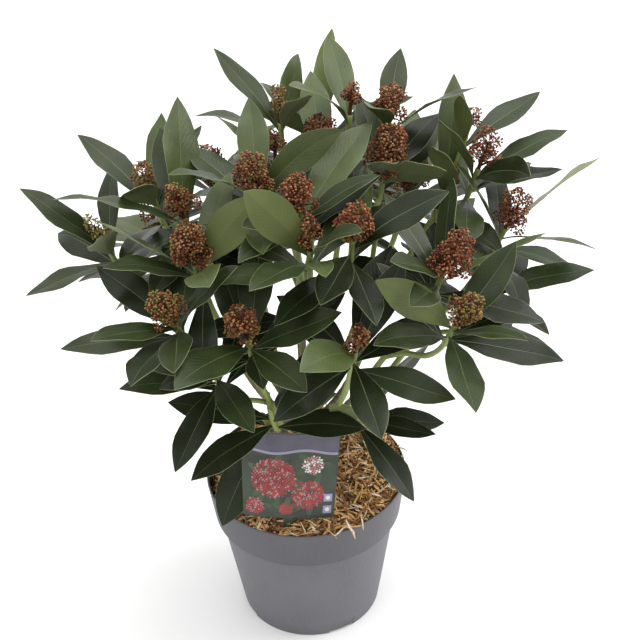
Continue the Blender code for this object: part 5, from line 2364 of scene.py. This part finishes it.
@dataclass
class Heads:
    """Flower heads: knobs of round buds on red stalks."""

    plan: Plan
    size: float = 0.94
    small_head: float = 14 * MM
    bud_radius: float = 1.0 * MM
    knob_radius: float = 4.9 * MM
    knob_density: float = 4.2
    buds_for_knob: int = 34
    stalk_radius: float = 0.24 * MM
    branch_radius: float = 0.75 * MM
    stalk_radii: Triple = (1.9 * MM, 1.5 * MM, 0.8 * MM)
    lobe_lean: float = 0.16
    crown_lift: float = 0.34
    crown_widths: Pair = (0.60, 0.74)
    crown_heights: Pair = (0.58, 0.66)
    lobe_turn: float = 0.4
    lobe_reaches: Pair = (0.36, 0.50)
    lobe_widths: Pair = (0.46, 0.60)
    lobe_lifts: Pair = (-0.44, -0.14)
    lobe_heights: Pair = (0.40, 0.52)
    knob_span: float = 1.9
    knob_places: Pair = (0.94, 1.10)
    knob_sizes: Pair = (0.80, 1.15)
    knob_nearness: float = 0.30
    bud_scatter: float = 0.20
    bud_places: Pair = (0.80, 1.14)
    bud_sizes: Pair = (0.78, 1.22)
    open_back: float = -0.30
    own_tint_share: float = 0.35
    points: dict[BudTint, list[tuple[Vector, Vector]]] = field(default_factory=dict)

    def plan_head(self, made: Build, shoot: Shoot, rng: random.Random) -> None:
        """Works out one head's buds, and adds its stalks.

        Args:
            made: The piece of stalks.
            shoot: The shoot that it ends.
            rng: Source of chance.
        """
        head = shoot.head
        tip = shoot.place()
        axis = self.plan.shoot_axis(tip)
        turn = axis.to_track_quat("Z", "X").to_matrix()
        wide, high = head.width * MM * self.size / 2, head.height * MM * self.size / 2
        foot = tip - axis * (self.plan.head_to_leaves - 1 * MM)
        made.add(*tube(Limb([foot, tip - axis * high * 0.4, tip + axis * high * 0.35],
                            list(self.stalk_radii), axis, axis), 8), STALK)
        lobes = self.lobes_of(wide, high, rng)
        knob = min(self.knob_radius, wide * 0.36) * (1.0 - 0.15 * head.opened)
        for number, (middle, reach) in enumerate(lobes):
            others = [lobe for k, lobe in enumerate(lobes) if k != number]
            inner = Vector([max(0.2 * knob, r - knob) for r in reach])
            area = (inner.x * inner.x + 2 * inner.x * inner.z) / (3 * knob * knob)
            count = max(4, round(self.knob_density * area * (1.0 - 0.4 * head.opened)))
            for unit in spiral(count, self.knob_span, rng.uniform(0, math.tau)):
                place = middle + unit * inner * rng.uniform(*self.knob_places)
                if any(sum(((place - at)[i] / size[i])**2 for i in range(3)) < self.knob_nearness
                       for at, size in others):
                    continue
                radius = knob * rng.uniform(*self.knob_sizes)
                start = Vector((0.0, 0.0, max(-high * 0.75, place.z - 0.75 * place.xy.length - 2 * MM)))
                branch = bezier(start, UP, place, unit, 3)
                made.add(*tube(Limb([tip + turn @ p for p in branch],
                                    taper(self.branch_radius, self.branch_radius * 0.6, 3),
                                    turn @ UP, turn @ unit), 4), STALK)
                self.plan_knob(made, shoot, (tip, turn), (place, unit, radius), rng)

    def lobes_of(self, wide: float, high: float, rng: random.Random) -> list[tuple[Vector, Vector]]:
        """Lobes of a head: one on top and two or three round its foot.

        Args:
            wide: Half the head's width.
            high: Half its height.
            rng: Source of chance.

        Returns:
            Each lobe's middle and its half sizes, in the head's frame.
        """
        x, y = (rng.uniform(-self.lobe_lean, self.lobe_lean) * wide for _ in range(2))
        crown = wide * rng.uniform(*self.crown_widths)
        lobes = [(Vector((x, y, self.crown_lift * high)),
                  Vector((crown, crown, high * rng.uniform(*self.crown_heights))))]
        count = 2 if wide < self.small_head else 3
        turn = rng.uniform(0, math.tau)
        for k in range(count):
            a = turn + math.tau * k / count + rng.uniform(-self.lobe_turn, self.lobe_turn)
            out = wide * rng.uniform(*self.lobe_reaches)
            size = wide * rng.uniform(*self.lobe_widths)
            middle = Vector((out * math.cos(a), out * math.sin(a), high * rng.uniform(*self.lobe_lifts)))
            lobes.append((middle, Vector((size, size, high * rng.uniform(*self.lobe_heights)))))
        return lobes

    def plan_knob(self, made: Build, shoot: Shoot, frame: tuple[Vector, Matrix],
                  knob: tuple[Vector, Vector, float], rng: random.Random) -> None:
        """Works out the buds of one knob, and adds their stalks.

        Args:
            made: The piece of stalks.
            shoot: The shoot.
            frame: The head's middle and its turn.
            knob: The knob's middle, way out and radius, in the head's frame.
            rng: Source of chance.
        """
        tip, turn = frame
        place, out, radius = knob
        opened, tints = shoot.head.opened, shoot.head.tints
        count = round(self.buds_for_knob * (radius / self.knob_radius) ** 1.6 * (1.0 - 0.25 * opened))
        spin = rng.uniform(0, math.tau)
        own = rng.randrange(len(tints))
        for way in spiral(count, 2.0, spin):
            drift = [rng.uniform(-self.bud_scatter, self.bud_scatter) for _ in range(3)]
            way = (way + Vector(drift)).normalized()
            if way.dot(out) < self.open_back:
                continue
            at = place + way * (radius * rng.uniform(*self.bud_places))
            tint = tints[own if rng.random() < self.own_tint_share else rng.randrange(len(tints))]
            world, world_way = tip + turn @ at, (turn @ way).normalized()
            self.points.setdefault(tint, []).append((world, world_way))
            self.add_stalk(made, tip + turn @ place, world)

    def add_stalk(self, made: Build, start: Vector, end: Vector) -> None:
        """Adds one bud's stalk, a slim spike that widens into the bud.

        Args:
            made: The piece of stalks.
            start: Where it leaves the branch.
            end: The bud's middle.
        """
        along = (end - start).normalized()
        across = along.orthogonal().normalized()
        other = along.cross(across)
        base = [end + (across * math.cos(a) + other * math.sin(a)) * self.stalk_radius
                for a in (0.0, math.tau / 3, math.tau * 2 / 3)]
        made.add([start, *base], [(0, 2, 1), (0, 3, 2), (0, 1, 3), (1, 2, 3)], STALK)

    def bud_shape(self) -> Piece:
        """One bud: an egg of two dozen faces.

        Returns:
            The bud, to be strewn.
        """
        vertices = [UP * 0.92, *ring_points(0.84, 0.45, 6), *ring_points(0.88, -0.38, 6, 0.5), UP * -0.95]
        faces = []
        for k in range(6):
            n = (k + 1) % 6
            faces += [(0, 1 + k, 1 + n), (1 + k, 7 + k, 1 + n), (1 + n, 7 + k, 7 + n), (13, 7 + n, 7 + k)]
        made = Build((BudTint.RED.value,))
        made.add([v * self.bud_radius for v in vertices], faces, BudTint.RED.value)
        return made.piece("bud_shape", outward=True)

    def build(self) -> list[Piece]:
        """Builds every head.

        Returns:
            The stalks, and the buds of each tint.
        """
        rng = random.Random(SEED + 5)
        stalks = Build((STALK,))
        for mass in self.plan.masses.values():
            for shoot in mass.shoots:
                if shoot.head:
                    self.plan_head(stalks, shoot, rng)
        pieces = [stalks.piece("bud_stalks", smooth_angle=60)]
        shape = self.bud_shape()
        tree = geometry_group("strew_buds", {
            "Shape": ("NodeSocketObject", None), "Smallest": ("NodeSocketFloat", 0.8),
            "Largest": ("NodeSocketFloat", 1.2), "Seed": ("NodeSocketInt", 0)}, fill_strew)
        for tint, spots in self.points.items():
            mesh = bpy.data.meshes.new(f"buds_{tint.name.lower()}")
            mesh.from_pydata([tuple(place) for place, _ in spots], [], [])
            ways = mesh.attributes.new("outward", "FLOAT_VECTOR", "POINT")
            ways.data.foreach_set("vector", [c for _, way in spots for c in way])
            pieces.append(strewn(placed(mesh.name, mesh), tree, {
                "Shape": shape, "Smallest": self.bud_sizes[0], "Largest": self.bud_sizes[1],
                "Seed": SEED, "Finish": tint.value.build()}))
        bpy.data.objects.remove(shape)
        return pieces


# Studio


@dataclass(frozen=True)
class Studio:
    """Pale floor, soft light and the photograph's view."""

    camera_place: Triple = (0.018, -1.0274, 1.0375)
    pitch: float = 34.97
    roll: float = 2.165
    focal_pixels: float = 1455.8
    frame_pixels: float = 640.0
    sensor: float = 36.0
    floor_reach: float = 40.0
    bright_way: Triple = (0.18, 0.42, 0.89)
    sky_edges: Pair = (-0.6, 0.9)
    dimmest: float = 0.30
    brightest: float = 1.34

    def camera(self) -> None:
        """Camera that sees the plant as the photograph does."""
        data = bpy.data.cameras.new("view")
        data.sensor_width = self.sensor
        data.lens = self.focal_pixels / self.frame_pixels * self.sensor
        data.clip_start, data.clip_end = 0.01, 100.0
        camera = placed("view", data)
        pitch, roll = math.radians(self.pitch), math.radians(self.roll)
        ahead = Vector((0.0, math.cos(pitch), -math.sin(pitch)))
        above = Vector((0.0, math.sin(pitch), math.cos(pitch)))
        right = Vector((1.0, 0.0, 0.0))
        across = right * math.cos(roll) - above * math.sin(roll)
        upward = right * math.sin(roll) + above * math.cos(roll)
        frame = Matrix((across, upward, -ahead)).transposed().to_4x4()
        frame.translation = self.camera_place
        camera.matrix_world = frame
        bpy.context.scene.camera = camera

    def floor(self) -> None:
        """Plain pale floor."""
        reach = self.floor_reach
        mesh = bpy.data.meshes.new("floor")
        corners = [(-reach, -reach, 0), (reach, -reach, 0), (reach, reach, 0), (-reach, reach, 0)]
        mesh.from_pydata(corners, [], [(0, 1, 2, 3)])
        look = bpy.data.materials.new("floor_white")
        look.use_nodes = True
        shader = look.node_tree.nodes["Principled BSDF"]
        shader.inputs["Base Color"].default_value = (0.93, 0.93, 0.93, 1.0)
        shader.inputs["Roughness"].default_value = 0.9
        shader.inputs["Specular IOR Level"].default_value = 0.1
        mesh.materials.append(look)
        placed("floor", mesh)

    def light(self, name: str, place: Triple, size: float, power: float) -> None:
        """Soft square lamp that faces the crown.

        Args:
            name: Its name.
            place: Where it hangs.
            size: Length of its side.
            power: Its power in watts.
        """
        data = bpy.data.lights.new(name, "AREA")
        data.size, data.energy = size, power
        lamp = placed(name, data)
        lamp.location = place
        toward = Vector((0.0, 0.0, 0.3)) - Vector(place)
        lamp.rotation_euler = toward.to_track_quat("-Z", "Y").to_euler()

    def lights(self) -> None:
        """Bright even surroundings with softboxes above and at both sides."""
        world = bpy.data.worlds.new("surroundings")
        world.use_nodes = True
        board = Board(world.node_tree)
        sky = world.node_tree.nodes["Background"]
        sky.inputs["Color"].default_value = (1.0, 1.0, 1.0, 1.0)
        way = board.add("ShaderNodeTexCoord").outputs["Generated"]
        facing = board.add("ShaderNodeVectorMath", {0: way, 1: self.bright_way}, operation="DOT_PRODUCT")
        bright = board.ramp(facing.outputs["Value"], *self.sky_edges)
        strength = board.math("MULTIPLY_ADD", bright, self.brightest - self.dimmest, self.dimmest)
        board.join(strength, sky.inputs["Strength"])
        bpy.context.scene.world = world
        bpy.context.scene.view_settings.view_transform = "Standard"
        self.light("key", (1.5, 0.1, 1.5), 1.1, 20.0)
        self.light("fill", (-1.2, -0.9, 1.6), 1.0, 8.0)
        self.light("top", (0.1, 0.5, 2.2), 1.2, 16.0)

    def build(self) -> None:
        """Camera, floor and lights."""
        self.camera()
        self.floor()
        self.lights()


def main() -> None:
    """Builds every piece of the potted skimmia round its frame."""
    logging.basicConfig(level=logging.INFO, format="%(message)s")
    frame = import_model()
    solids = frame["nodes"]
    Studio().build()
    plan = Plan()
    plan.grow(solids)
    hand_over(Pot().build(), ["pot"])
    solids["soil"].data.materials.clear()
    solids["soil"].data.materials.append(SOIL.build())
    mulch = Mulch()
    hand_over(mulch.bed(solids["mulch"]), ["mulch"])
    for piece in mulch.strew(solids["mulch"]):
        hand_over(piece, ["mulch"])
    hand_over(mulch.strays())
    hand_over(Label().build(), ["label"])
    limbs = ["main_stem"] + [f"bough_{name}" for name in plan.masses]
    hand_over(Limbs(plan).build(), limbs)
    twigs, foliage = Twigs(plan), Foliage(plan)
    for group, masses in GROUPS.items():
        nodes = [f"foliage_{name}" for name in masses]
        hand_over(twigs.build(group), nodes)
        hand_over(foliage.build(group), nodes)
    for piece in Heads(plan).build():
        hand_over(piece)


if __name__ == "__main__":
    main()
